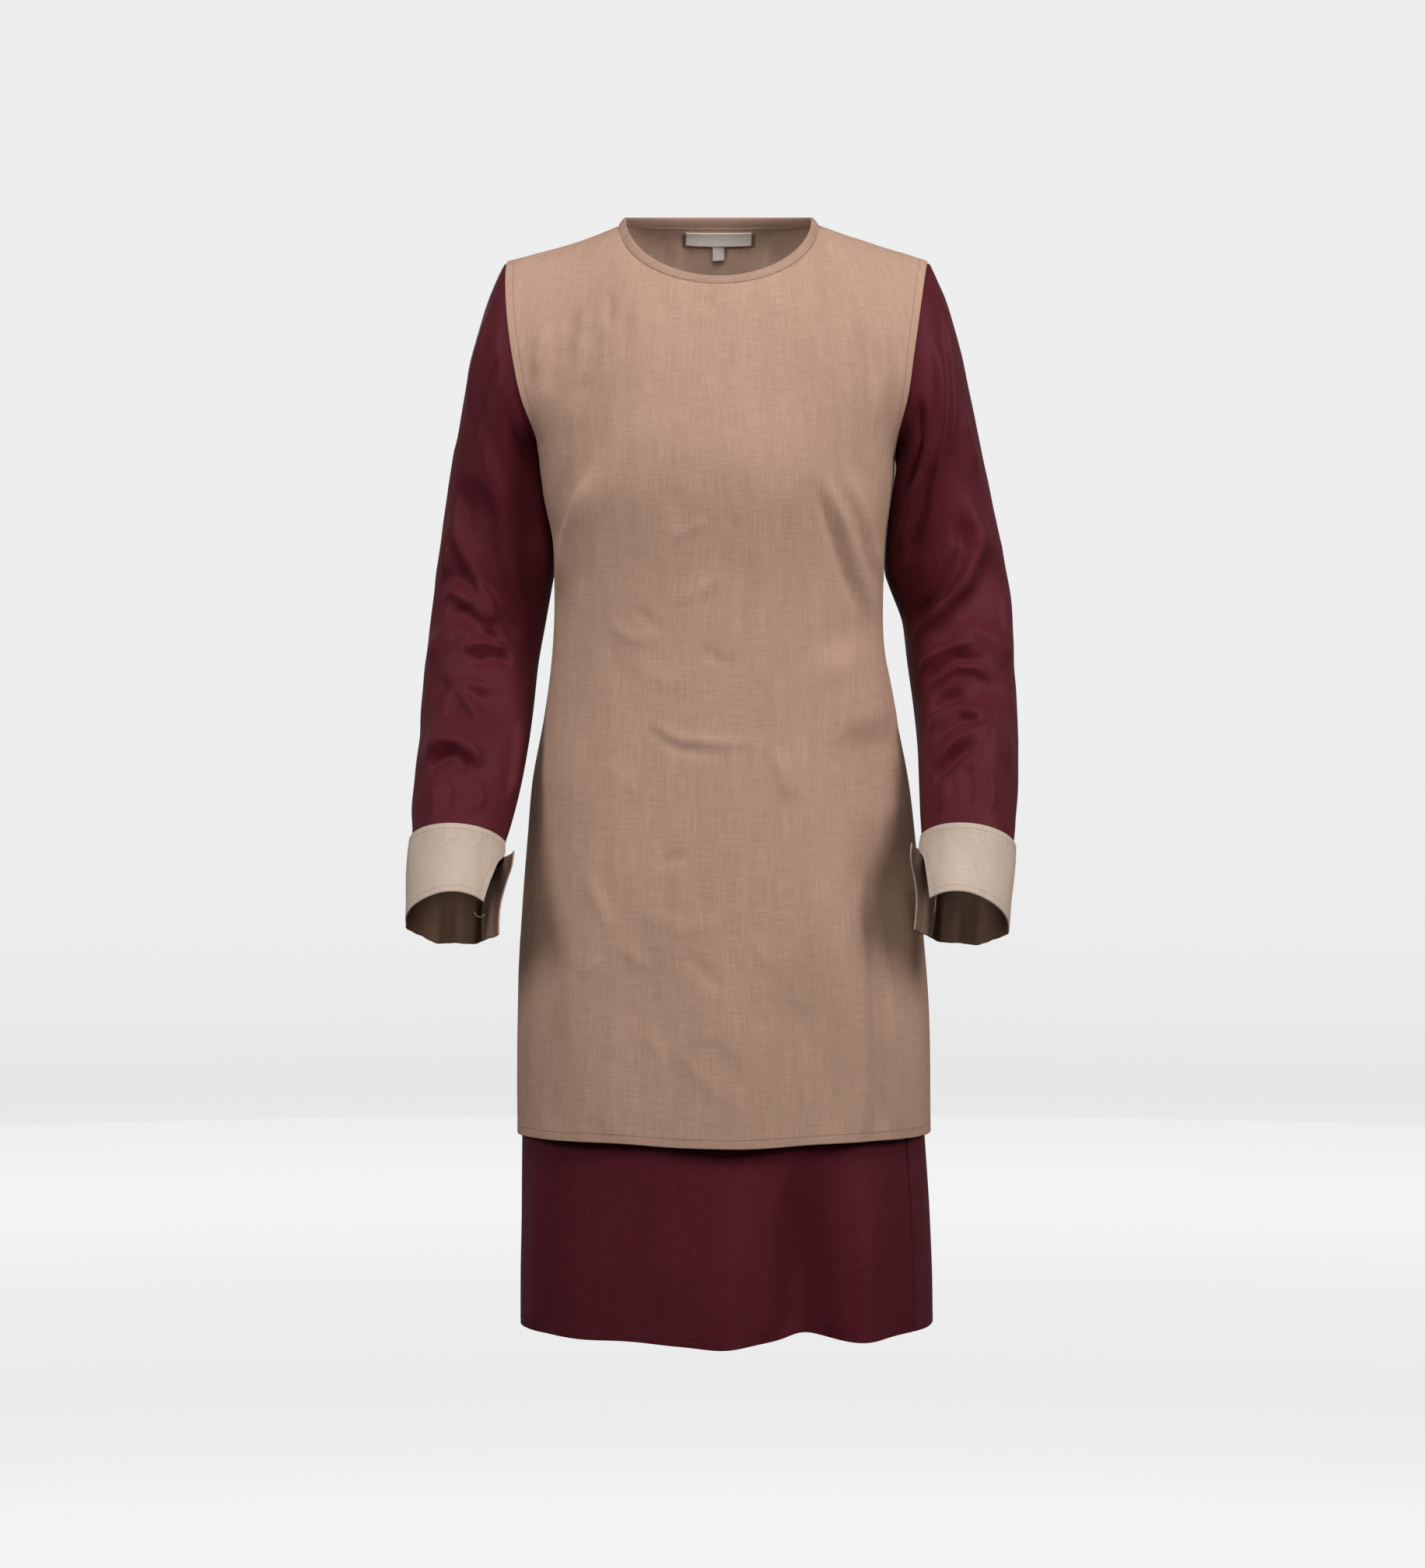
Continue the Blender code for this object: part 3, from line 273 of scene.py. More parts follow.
RIGHT_ARM = (
    Arm(-0.670, 0.2180, -0.133, 0.0420, 0.0430),
    Arm(-0.650, 0.2205, -0.122, 0.0425, 0.0432),
    Arm(-0.591, 0.2284, -0.092, 0.0427, 0.0434),
    Arm(-0.575, 0.2304, -0.084, 0.0428, 0.0436),
    Arm(-0.552, 0.2320, -0.071, 0.0448, 0.0462),
    Arm(-0.520, 0.2338, -0.051, 0.0465, 0.0490),
    Arm(-0.480, 0.2345, -0.026, 0.0475, 0.0510),
    Arm(-0.440, 0.2332, -0.002, 0.0490, 0.0530),
    Arm(-0.400, 0.2306, 0.015, 0.0510, 0.0550),
    Arm(-0.355, 0.2275, 0.024, 0.0535, 0.0565),
    Arm(-0.310, 0.2160, 0.026, 0.0577, 0.0580),
)
UPPER_ARM_Z = -0.310
WRIST_Z = -0.575
SLEEVE_END_Z = -0.589
ARM_GIRTH_RADIUS = 0.05

# Sleeve head: how far it is tucked under the armhole edge (from the underarm upwards), how far
# below the panel it lies there, and the lip that it makes past the edge
SLEEVE_HEAD_Z = -0.10
TUCK_STEPS_PER_EDGE = 10
TUCKED_ROWS = (0.0, 0.4, 0.75)
ARMHOLE_TUCK = (0.0, 0.25, 0.55, 0.8, 0.95)
TUCK_DROP = 0.0023
UNDERARM_LIFT = 0.0006
HEAD_LIP = 0.003

# The way the cloth leaves the armhole, over the arm and under it, and how strongly it keeps to
# that way and to the arm's own direction below
HEAD_OUT = 0.55
HEAD_DOWN = 0.85
HEAD_PULL = 0.80
UNDERARM_UP = 0.25
UNDERARM_OUT = 0.95
UNDERARM_PULL = 0.36
ARM_PULL = 0.95

# Large folds of both sleeves, from the solids. Their paths are in degrees round the sleeve, from
# the body side through the front, and heights. So are those of the sleeves' creases.
ARM_FOLDS = (
    straight(150, -0.310, 50, -0.420, 0.036, -0.0070, 0.25, 0.25),
    straight(70, -0.380, 160, -0.420, 0.034, 0.0060, 0.25, 0.25),
    straight(40, -0.480, 150, -0.450, 0.034, -0.0065, 0.25, 0.25),
    straight(60, -0.520, 150, -0.500, 0.034, 0.0050, 0.25, 0.25),
    straight(300, -0.360, 220, -0.430, 0.036, -0.0050, 0.25, 0.25),
    straight(290, -0.470, 220, -0.500, 0.036, 0.0040, 0.25, 0.25),
)
LEFT_SLEEVE_CREASES = (
    Fold(0.011, 0.0016, ((124, -0.542), (118, -0.556), (121, -0.574))),
    Fold(0.010, -0.0014, ((104, -0.540), (100, -0.556), (103, -0.573))),
    Fold(0.012, 0.0014, ((72, -0.540), (66, -0.556), (69, -0.574))),
    Fold(0.0164, -0.0048, ((139, -0.245), (121, -0.284), (90, -0.331), (56, -0.379),
                           (26, -0.420))),
    Fold(0.0400, -0.0036, ((112, -0.240), (104, -0.300), (86, -0.360))),
    Fold(0.0164, 0.0034, ((150, -0.262), (128, -0.300), (100, -0.335), (70, -0.382))),
    Fold(0.0246, -0.0042, ((44, -0.131), (45, -0.197), (46, -0.255), (47, -0.299))),
    Fold(0.0213, 0.0036, ((98, -0.197), (88, -0.255), (73, -0.312), (56, -0.355))),
    Fold(0.0148, 0.0040, ((148, -0.349), (124, -0.350), (101, -0.360), (74, -0.382))),
    Fold(0.0148, -0.0036, ((140, -0.371), (115, -0.375), (90, -0.393), (61, -0.412))),
    Fold(0.0107, 0.0032, ((103, -0.424), (92, -0.411), (77, -0.407), (55, -0.409))),
    Fold(0.0115, -0.0030, ((96, -0.436), (76, -0.424), (49, -0.423))),
    Fold(0.0107, 0.0028, ((136, -0.468), (116, -0.462), (98, -0.455), (64, -0.461))),
    Fold(0.0107, 0.0026, ((129, -0.439), (108, -0.456), (91, -0.474), (75, -0.490))),
    Fold(0.0098, -0.0026, ((129, -0.488), (108, -0.478), (82, -0.493))),
    Fold(0.0098, 0.0042, ((138, -0.520), (126, -0.513), (113, -0.509), (93, -0.513),
                          (66, -0.533))),
    Fold(0.0098, -0.0040, ((136, -0.536), (119, -0.526), (102, -0.523), (78, -0.539))),
    Fold(0.0115, 0.0022, ((34, -0.466), (27, -0.506), (22, -0.553))),
    Fold(0.0115, 0.0020, ((150, -0.285), (146, -0.339))),
    Fold(0.0115, -0.0018, ((169, -0.182), (169, -0.240))),
    Fold(0.0115, 0.0018, ((141, -0.115), (137, -0.153), (138, -0.211))),
    Fold(0.0098, -0.0016, ((96, -0.115), (104, -0.168), (113, -0.219))),
    Fold(0.0185, 0.0020, ((222, -0.325), (250, -0.352), (290, -0.372), (318, -0.410))),
    Fold(0.0174, -0.0018, ((214, -0.356), (252, -0.384), (296, -0.402))),
    Fold(0.0154, 0.0017, ((206, -0.412), (240, -0.436), (285, -0.430))),
    Fold(0.0144, -0.0014, ((232, -0.462), (268, -0.474), (304, -0.462))),
    Fold(0.0154, 0.0016, ((240, -0.486), (270, -0.506), (300, -0.534))),
    Fold(0.0205, 0.0013, ((205, -0.150), (212, -0.220), (206, -0.300))),
    Fold(0.0246, -0.0014, ((268, -0.170), (262, -0.240), (270, -0.310))),
)
RIGHT_SLEEVE_CREASES = (
    Fold(0.011, 0.0016, ((52, -0.532), (58, -0.552), (55, -0.574))),
    Fold(0.011, -0.0015, ((84, -0.528), (88, -0.548), (86, -0.572))),
    Fold(0.010, 0.0014, ((108, -0.530), (116, -0.550), (113, -0.573))),
    Fold(0.0131, 0.0038, ((111, -0.115), (109, -0.141), (84, -0.197), (72, -0.255))),
    Fold(0.0115, 0.0035, ((160, -0.115), (134, -0.153), (99, -0.226))),
    Fold(0.0115, -0.0037, ((60, -0.115), (61, -0.175), (38, -0.233))),
    Fold(0.0115, -0.0042, ((88, -0.197), (70, -0.255), (47, -0.303))),
    Fold(0.0131, 0.0030, ((60, -0.197), (52, -0.240), (39, -0.291))),
    Fold(0.0164, 0.0044, ((119, -0.255), (129, -0.299), (105, -0.331), (74, -0.356), (46, -0.379),
                           (26, -0.398))),
    Fold(0.0148, -0.0042, ((104, -0.270), (110, -0.309), (80, -0.338), (53, -0.358),
                           (22, -0.382))),
    Fold(0.0115, 0.0036, ((30, -0.427), (46, -0.420), (65, -0.413), (103, -0.408))),
    Fold(0.0115, -0.0034, ((32, -0.445), (54, -0.437), (81, -0.428), (112, -0.428))),
    Fold(0.0107, 0.0030, ((32, -0.458), (52, -0.446), (75, -0.436), (102, -0.439),
                          (120, -0.450))),
    Fold(0.0107, -0.0030, ((36, -0.477), (60, -0.466), (89, -0.464))),
    Fold(0.0107, 0.0036, ((34, -0.489), (56, -0.479), (76, -0.474), (113, -0.488))),
    Fold(0.0107, -0.0034, ((38, -0.506), (60, -0.496), (85, -0.490), (112, -0.504))),
    Fold(0.0107, 0.0032, ((38, -0.530), (60, -0.516), (81, -0.507), (101, -0.497),
                          (130, -0.503))),
    Fold(0.0107, -0.0028, ((37, -0.546), (68, -0.527), (101, -0.513))),
    Fold(0.0131, 0.0020, ((148, -0.340), (141, -0.407))),
    Fold(0.0115, 0.0018, ((132, -0.197), (142, -0.255))),
    Fold(0.0185, 0.0020, ((226, -0.318), (254, -0.344), (294, -0.366), (320, -0.404))),
    Fold(0.0174, -0.0018, ((218, -0.350), (256, -0.376), (298, -0.398))),
    Fold(0.0154, 0.0017, ((208, -0.418), (244, -0.444), (288, -0.436))),
    Fold(0.0144, -0.0014, ((236, -0.468), (270, -0.480), (306, -0.470))),
    Fold(0.0154, 0.0016, ((242, -0.492), (274, -0.512), (302, -0.538))),
    Fold(0.0205, 0.0013, ((204, -0.150), (212, -0.210), (205, -0.292))),
    Fold(0.0246, -0.0014, ((266, -0.176), (262, -0.246), (270, -0.316))),
)

# The sleeves' creases are made this much deeper, but none passes the most height
SLEEVE_DEEPEN = 2.4
SLEEVE_MOST = 0.0070

# Uneven wear all over the cloth, as waves: their height, their length across and along the
# piece, where the pattern starts both ways, and what they add to the piece's seed
Wear = namedtuple("Wear", "height across along start_across start_along seed")
OVER_WEAR = (Wear(0.0011, 0.060, 0.140, 9, 0, 11), Wear(0.0006, 0.024, 0.055, 20, 0, 21),
             Wear(0.0002, 0.010, 0.014, 40, 0, 31))
SKIRT_WEAR = (Wear(0.0010, 0.045, 0.120, 9, 0, 51), Wear(0.0004, 0.018, 0.050, 20, 0, 61))
SLEEVE_WEAR = (Wear(0.0009, 0.030, 0.050, 9, 40, 0), Wear(0.0005, 0.014, 0.022, 9, 80, 1))
CUFF_WEAR = (Wear(0.0007, 0.022, 0.050, 9, 9, 0), Wear(0.0004, 0.009, 0.030, 9, 9, 1))
HEM_WEAR = (Wear(0.0008, 0.050, 1.0, 30, 0, 41),)

# Creases and wear fade out over these lengths (m) towards seams and edges. At the sleeve's seam
# it is a turn in radians, and below the sleeve head a number of rows.
SIDE_STILL = 0.030
TOP_STILL = 0.012
SKIRT_SIDE_STILL = 0.020
WRIST_STILL = 0.020
SLEEVE_SEAM_STILL = 0.4
HEAD_STILL_ROWS = 7.0

# Cuffs: a band round the sleeve end, parted on the side towards the body. Each row gives where
# the band starts and ends in degrees round the sleeve, and how far it stands off.
CuffRow = namedtuple("CuffRow", "z front_end rear_end flare")
CUFF_ROWS = (
    CuffRow(-0.579, 12.0, 352.0, 0.0072),
    CuffRow(-0.591, 12.0, 352.0, 0.0064),
    CuffRow(-0.604, 28.0, 338.0, 0.0052),
    CuffRow(-0.618, 36.0, 330.0, 0.0040),
    CuffRow(-0.634, 43.0, 328.0, 0.0032),
    CuffRow(-0.650, 48.0, 330.0, 0.0026),
)
# The rear end flares out, over this many degrees
CUFF_FLARE_TURN = 32.0
# The front of the cuff is drawn up in a low arch: its height, and its half width in degrees
CUFF_FRONT_TURN = 90.0
CUFF_RIM_ARCH = 0.0085
CUFF_RIM_ARCH_TURN = 52.0
# Creases down the cuff: degrees round it, half width in degrees, and height
CuffCrease = namedtuple("CuffCrease", "turn width depth")
CUFF_CREASES = (
    CuffCrease(196, 7, 0.0020), CuffCrease(222, 8, -0.0022), CuffCrease(246, 6, 0.0026),
    CuffCrease(268, 8, -0.0024), CuffCrease(292, 7, 0.0024), CuffCrease(312, 6, -0.0018),
    CuffCrease(70, 12, 0.0008), CuffCrease(118, 14, -0.0007),
)
# Wear, creases and arch each start at a distance below the cuff's top and are full further on
CUFF_WEAR_FULL = 0.012
CUFF_CREASE_STARTS = 0.010
CUFF_ARCH_STARTS = 0.020
CUFF_FULL_OVER = 0.050
CUFF_EASE = 0.0008
CUFF_THICK = 0.0019
# Columns of the inner face at the rear end painted in the sand linen, as half-shade where light
# reaches in at the opening
CUFF_HALF_SHADE_COLUMNS = 15

# Panels are drawn smooth below the neck corners and past the underarm: columns, rows, passes,
# and the parts of a panel's length or width over which that fades in
CORNER_COLUMNS = 16.0
CORNER_FADE = 0.07
UNDERARM_ROWS = 10.0
UNDERARM_FROM = 0.05
UNDERARM_FADE = 0.08
EASE_PASSES = 120

# The armhole edge pulls the panel beside it along, over this part of the panel's width
ARMHOLE_REACH = 0.30
# Slopes are read from two heights this far apart: on the panels, and on the sleeves
PANEL_SLOPE_STEP = 0.004
ARM_SLOPE_STEP = 0.002

# Cloth and sewing: single and doubled thickness, the width of turned edges and how far in they
# are sewn, and the stitches' pitch, length and thickness
LINEN = 0.0007
TURNED_LINEN = 0.0015
SATIN = 0.0005
TURNED_SATIN = 0.0012
TURN_WIDTH = 0.0085
SEWN_IN = 0.0078
STITCH_PITCH = 0.0032
STITCH_LONG = 0.0023
STITCH_THICK = 0.00042
# Rings of one stitch: part of its length, part of its thickness, and how high it lies
STITCH_RINGS = ((-0.5, 0.35, -0.55), (-0.42, 0.85, -0.15), (-0.2, 1.0, 0.15),
                (0.2, 1.0, 0.15), (0.42, 0.85, -0.15), (0.5, 0.35, -0.55))
STITCH_SIDES = 6
STITCH_LOOK_AHEAD = 0.0005
# Doubled cloth steps down to single cloth over this width, and every edge is rolled round
TURN_STEP = 0.0012
ROLLED_PART = 0.9
SKIRT_TURN_WIDTH = 0.0075
SKIRT_SEWN_IN = 0.0068
CUFF_SEWN_IN = (0.0062, 0.0620)
# Side vents: where they start, how far they part, over what height, and how far in that reaches
VENT_TOP_Z = -0.838
VENT_PART = 0.0016
VENT_RISE = 0.004
VENT_REACH = 0.012

# Pressed seams: how deep the ditch is and how wide, and the soft ridge of the seam allowance
# beside it, with its height as a part of the ditch's depth, its place and its width
SEAM_DITCH = 0.0007
Seam = namedtuple("Seam", "ditch ridge away width")
SIDE_SEAM = Seam(0.0022, 0.5, 0.0062, 0.0040)
SHOULDER_SEAM = Seam(0.0022, 0.6, 0.0065, 0.0042)
SKIRT_SEAM = Seam(0.0020, 0.5, 0.0060, 0.0040)
SLEEVE_DITCH = 0.0025

# The front hem hangs a little lower near its middle
HEM_DIP = 0.0045
HEM_DIP_X = 0.012
HEM_DIP_WIDTH = 0.070
HEM_DIP_REACH = 0.06

# Neck binding: how far it stands off the seam, its profile from the seam to the open edge, its
# inner face, the height and length of its waves, and where its stitching lies
BINDING_FULL = 0.0011
BINDING_PROFILE = ((0.0, 0.35), (0.04, 0.72), (0.10, 0.84), (0.16, 0.72), (0.24, 0.92),
                   (0.40, 1.04), (0.60, 1.08), (0.76, 1.02), (0.88, 0.80), (0.96, 0.45),
                   (1.0, 0.0))
BINDING_INNER = 0.35
BINDING_WAVE = 0.12
BINDING_WAVE_LONG = 0.014
BINDING_SEWN_UP = 0.14
BINDING_SEWN_OUT = 0.85

# Neck label and size tab: half width, way down the cloth and height, thickness, gap to the
# cloth, thinner rim, and how far the lower edge curls off. Thread loops inside the cuffs.
LABEL_HALF_WIDTH = 0.0325
LABEL_DOWN = 0.0065
LABEL_TALL = 0.0160
LABEL_THICK = 0.0009
LABEL_EASE = 0.0007
LABEL_RIM = 0.0005
LABEL_RIM_DRAWN = 0.4
LABEL_CURL = 0.0008
TAB_HALF_WIDTH = 0.0056
TAB_TALL = 0.0145
TAB_GAP = 0.0003
TAB_CURL = 0.0014
LOOP_THICK = 0.0008
LOOP_CORE = 0.3
LOOP_SAG = 0.0035
LOOP_ASIDE = (0.0, 1.0, 0.3)
LOOPS = (("thread_loop_left", (-0.2235, -0.1290, -0.6400), (-0.2140, -0.1330, -0.6420)),
         ("thread_loop_right", (0.1985, -0.1290, -0.6230), (0.1960, -0.1350, -0.6400)))

# Woven finishes, sizes in metres: how many widths long a thick stretch of yarn runs both ways,
# the streaks and cloudy patches that washing and pressing leave, the puckers and the groove at
# stitching, the ditch of a seam, and where between its two colours the cloth's tone lies
YARN = 0.0012
LINEN_RELIEF = 0.00030
WARP_RUN = 26
WEFT_RUN = 20
GRAIN_RUN = 0.8
STREAK = (0.011, 0.150)
CLOUD = (0.070, 0.110)
TONE_SHARES = (0.26, 0.26, 0.22, 0.09, 0.07)
TONE_DARK, TONE_LIGHT = 0.36, 0.64
PUCKER = (0.0035, 0.0035)
PUCKER_SHARE, GROOVE_SHARE, DITCH_SHARE = 0.9, 0.8, 0.9
GROOVE_WIDTH = 0.0012
DITCH_WIDTH = 0.0016
# Sewing thread: the length of its twist, and how dark the painted shade between its turns is. Tape:
# the width and length of its cross ribs and of its fine yarns, and its relief.
THREAD_TWIST = 0.0012
THREAD_SHADE = 0.7
TAPE_RIBS = (0.012, 0.0009)
TAPE_FINE = (0.0009, 0.0030)
TAPE_RIB_SHARE = 0.6
TAPE_RELIEF = 0.0003

# Studio: the camera, which sees the photo's 2016 rows at 0.74 mm each, the room and the lamps
SENSOR = 36.0
CAMERA_FAR = 3.2
CAMERA_X = -0.0059
CAMERA_Z = -0.523
SEEN_HEIGHT = 2016 * 0.00074
FLOOR_Z = -1.6
ROOM_RADIUS = 7.75
ROOM_TALL = 9.0
FLOOR_FRONT = 3.2
WALL_SHOWN = 3.5
# The floor's and the wall's bands of colour are painted light and shade: lighter and darker with
# distance over the floor, and the wall darkest just above the floor
FLOOR_PAINTED_LIGHT_BANDS = ((0.43, "#F6F6F6"), (0.48, "#F1F1F1"), (0.54, "#E9E9EA"), (0.60, "#ECECEC"),
                 (0.68, "#EFEFEF"), (0.74, "#F2F2F2"), (0.84, "#F4F4F4"), (1.0, "#EDEDED"))
WALL_PAINTED_LIGHT_BANDS = ((0.0, "#E9E9E9"), (0.035, "#E6E6E7"), (0.10, "#EAEAEB"), (0.30, "#EEEEEF"),
                (0.70, "#EEEEEE"), (1.0, "#EDEDED"))
AIR_LIGHT = 0.22
AIR_COLOURS = ((0.30, "#262322"), (0.58, "#F6F4F2"))
# Lamps: name, place, target, width, power and colour
LAMPS = (
    ("key", (2.05, -1.60, 0.70), (0.0, 0.0, -0.20), 1.3, 46.5, "#FFFDFC"),
    ("left_side", (-1.95, -1.60, 0.62), (0.0, 0.0, -0.18), 0.9, 29.5, "#FFFFFF"),
    ("front_high", (0.1, -1.85, 1.70), (0.0, 0.0, 0.0), 0.8, 30.0, "#FFFFFF"),
    ("back_fill", (-0.4, 3.2, 0.80), (0.0, 0.0, -0.40), 1.6, 36.0, "#FFFFFF"),
)

# How finely the cloth is drawn: columns, rows and steps
EDGE_STEPS = (0.0, 0.0008, 0.0020, 0.0045, 0.0080, 0.0120, 0.0160, 0.0200, 0.0240, 0.0290)
SHOULDER_STEPS = 30
NECK_STEPS = 44
HEM_ROWS = (0.0, 0.0004, 0.0010, 0.0022, 0.0038, 0.0054, 0.0070, 0.0086, 0.0104, 0.0130)
BODY_ROWS = 148
RISE_ROWS = 84
SLEEVE_HEAD_ROWS = 44
SKIRT_ROWS = 46
SKIRT_MEASURED_ROW = 12
CUFF_DOWN = np.concatenate([[0.0, 0.004, 0.012, 0.028], np.linspace(0.05, 0.95, 37),
                            [0.972, 0.988, 0.996, 1.0]])
CUFF_ROUND = np.concatenate([[0.0, 0.0012, 0.0040, 0.0080], np.linspace(0.014, 0.986, 118),
                             [0.9920, 0.9960, 0.9988, 1.0]])
LABEL_ROUND = np.linspace(-1.0, 1.0, 41)
LABEL_DOWN_STEPS = (0.0, 0.03, 0.10, 0.22, 0.36, 0.50, 0.64, 0.78, 0.90, 0.97, 1.0)
SLEEVE_ARM_ROWS = 104
LOOP_STEPS = 25
LOOP_SIDES = 8
ROOM_SIDES = 128
SECTION_STEPS = 720
WAVE_TABLE = 64


def smooth(knots, values, at):
    """Values at the places `at`, on a cubic curve through the knots."""
    knots = np.asarray(knots, float)
    values = np.asarray(values, float)
    at = np.atleast_1d(np.asarray(at, float))
    slope = np.gradient(values, knots, axis=0)
    i = np.clip(np.searchsorted(knots, at, side="right") - 1, 0, len(knots) - 2)
    step = (knots[i + 1] - knots[i])[:, None]
    t = ((at - knots[i]) / step[:, 0])[:, None]
    return cubic(values[i], slope[i] * step, values[i + 1], slope[i + 1] * step, t)


def cubic(start, leave, end, arrive, t):
    """A point at part t of a curve that leaves `start` and arrives at `end` in given directions."""
    near = (1 + 2 * t) * (1 - t) ** 2
    far = t ** 2 * (3 - 2 * t)
    return near * start + t * (1 - t) ** 2 * leave + far * end - t ** 2 * (1 - t) * arrive


def unit(vectors):
    """The vectors at length one."""
    return vectors / np.maximum(np.linalg.norm(vectors, axis=-1, keepdims=True), 1e-12)


def ease(t):
    """A soft step from 0 to 1."""
    t = np.clip(t, 0.0, 1.0)
    return t * t * (3 - 2 * t)


def bump(distance, width):
    """A soft ridge that is 1 on the line and fades over `width`."""
    return np.exp(-(distance / width) ** 2)


def waviness(u, v, seed):
    """Smooth uneven values from -1 to 1 over the cloth, the same on each run."""
    count = WAVE_TABLE
    table = np.random.default_rng(seed).uniform(-1.0, 1.0, (count, count))
    low_u, low_v = np.floor(u).astype(int), np.floor(v).astype(int)
    part_u, part_v = ease(u - low_u), ease(v - low_v)
    left, right = low_u % count, (low_u + 1) % count
    low, high = low_v % count, (low_v + 1) % count
    bottom = (1 - part_u) * table[left, low] + part_u * table[right, low]
    top = (1 - part_u) * table[left, high] + part_u * table[right, high]
    return (1 - part_v) * bottom + part_v * top


def wear(across, along, waves, seed):
    """How far uneven wear lifts the cloth, at lengths across and along it."""
    return sum(wave.height * waviness(across / wave.across + wave.start_across,
                                      along / wave.along + wave.start_along, wave.seed + seed)
               for wave in waves)


def travel(grid, axis=0):
    """The length of cloth from the first point, row or column to each point."""
    steps = np.linalg.norm(np.diff(grid, axis=axis), axis=-1)
    start = np.zeros_like(steps.take([0], axis=axis))
    return np.concatenate([start, np.cumsum(steps, axis=axis)], axis=axis)


def grid_normals(grid, sign=1.0, ring=False):
    """Unit normals of a grid of points; a ring's columns join end to end."""
    if ring:
        around = np.roll(grid, -1, axis=1) - np.roll(grid, 1, axis=1)
    else:
        around = np.gradient(grid, axis=1)
    return unit(np.cross(around, np.gradient(grid, axis=0))) * sign


def relief(u, v, folds, unit_u=1.0):
    """How far folds lift the cloth at the places (u, v), with paths `unit_u` wide in u."""
    lift = np.zeros(np.broadcast(u, v).shape)
    for fold in folds:
        path = np.array(fold.path, float) * (unit_u, 1.0)
        length = travel(path)
        gap, along = np.full(lift.shape, math.inf), np.zeros(lift.shape)
        for start, end, before, after in zip(path, path[1:], length, length[1:]):
            run = end - start
            x, z = u - start[0], v - start[1]
            part = ((x * run[0] + z * run[1]) / (run @ run)).clip(0.0, 1.0)
            away = np.hypot(x - part * run[0], z - part * run[1])
            along = np.where(away < gap, before + part * (after - before), along)
            gap = np.minimum(gap, away)
        along = along / length[-1]
        fade = ease(along / fold.fade_start)
        if fold.fade_end:
            fade = fade * ease((1 - along) / fold.fade_end)
        lift = lift + fold.height * bump(gap, 0.5 * fold.width) * fade
    return lift


def pressed(away, seam):
    """How far a pressed seam shapes the cloth: a ditch, and the allowance's ridge beside it."""
    ridge = seam.ridge * bump(away - seam.away, seam.width)
    return SEAM_DITCH * (ridge - bump(away, seam.ditch))


def stations():
    """Places of the columns along half a section, close together at the turned edges."""
    shoulder = np.linspace(EDGE_STEPS[-1], SHOULDER_PART, SHOULDER_STEPS + 1)[1:]
    neck = np.linspace(SHOULDER_PART, 0.5, NECK_STEPS + 1)[1:]
    near = np.concatenate([EDGE_STEPS, shoulder, neck])
    return np.concatenate([near, 1.0 - near[-2::-1]])


PLACES = stations()
FIRST_NECK = len(EDGE_STEPS) - 1 + SHOULDER_STEPS
SHOULDERS = np.r_[0:FIRST_NECK + 1, len(PLACES) - FIRST_NECK - 1:len(PLACES)]
UNDERARM_ROW = len(HEM_ROWS) - 1 + BODY_ROWS
TUCK_COLUMN = EDGE_STEPS.index(TUCK_PART)


def read_sections(sections, heights):
    """Rows of left, right, front and back at any heights, from a table of sections."""
    table = sorted(sections)
    return smooth([row.z for row in table], [row[1:] for row in table], heights)


def half_section(row, z, facing):
    """Half of a level section, from the left side seam to the right, at the columns' places."""
    left, right, front, back = row
    turn = np.linspace(0.0, math.pi, SECTION_STEPS + 1)
    across = np.sign(np.cos(turn)) * np.abs(np.cos(turn)) ** (2.0 / SQUARENESS)
    out = np.sin(turn).clip(0.0) ** (2.0 / SQUARENESS)
    x = np.where(across > 0, -left * across, -right * across)
    y = facing * (front if facing < 0 else back) * out
    length = np.concatenate([[0.0], np.cumsum(np.hypot(np.diff(x), np.diff(y)))])
    place = PLACES * length[-1]
    return np.column_stack([np.interp(place, length, x), np.interp(place, length, y),
                            np.full(len(place), z)])


def neck_point(ring, facing, turn):
    """A point of a neck ring, `turn` radians from its left end through the front or the back."""
    out = np.abs(np.sin(turn))
    depth, end_z = (ring.front, ring.front_z) if facing < 0 else (ring.back, ring.back_z)
    reach = depth * out ** (NECK_FRONT_FULLNESS if facing < 0 else 1.0)
    return np.stack([-ring.half_width * np.cos(turn), facing * reach,
                     ring.side_z + (end_z - ring.side_z) * out], axis=-1)


def top_edge(facing):
    """The panel's top edge: shoulder, neckline, shoulder."""
    tip = ARMHOLE[-1]
    turn = (PLACES - SHOULDER_PART) / (1 - 2 * SHOULDER_PART) * math.pi
    line = neck_point(NECK_SEAM, facing, turn.clip(0.0, math.pi))
    for side, out, sag, near in ((-1, tip.left, LEFT_SHOULDER_SAG, PLACES),
                                 (1, tip.right, RIGHT_SHOULDER_SAG, 1 - PLACES)):
        on_shoulder = near < SHOULDER_PART
        part = (near[on_shoulder] / SHOULDER_PART)[:, None]
        end = neck_point(NECK_SEAM, facing, 0.0 if side < 0 else math.pi)
        fall = np.sin(math.pi * part) * np.array([0.0, 0.0, -sag])
        line[on_shoulder] = (1 - part) * np.array([side * out, 0.0, tip.z]) + part * end + fall
    return line


def armhole_edge(side, facing, parts):
    """The armhole's edge on one side and one panel, at parts of its length from the underarm."""
    x = [row.left if side < 0 else row.right for row in ARMHOLE]
    y = [row.fore if facing < 0 else row.aft for row in ARMHOLE]
    points = np.column_stack([side * np.array(x), facing * np.array(y), [r.z for r in ARMHOLE]])
    length = travel(points)
    return smooth(length / length[-1], points, parts)


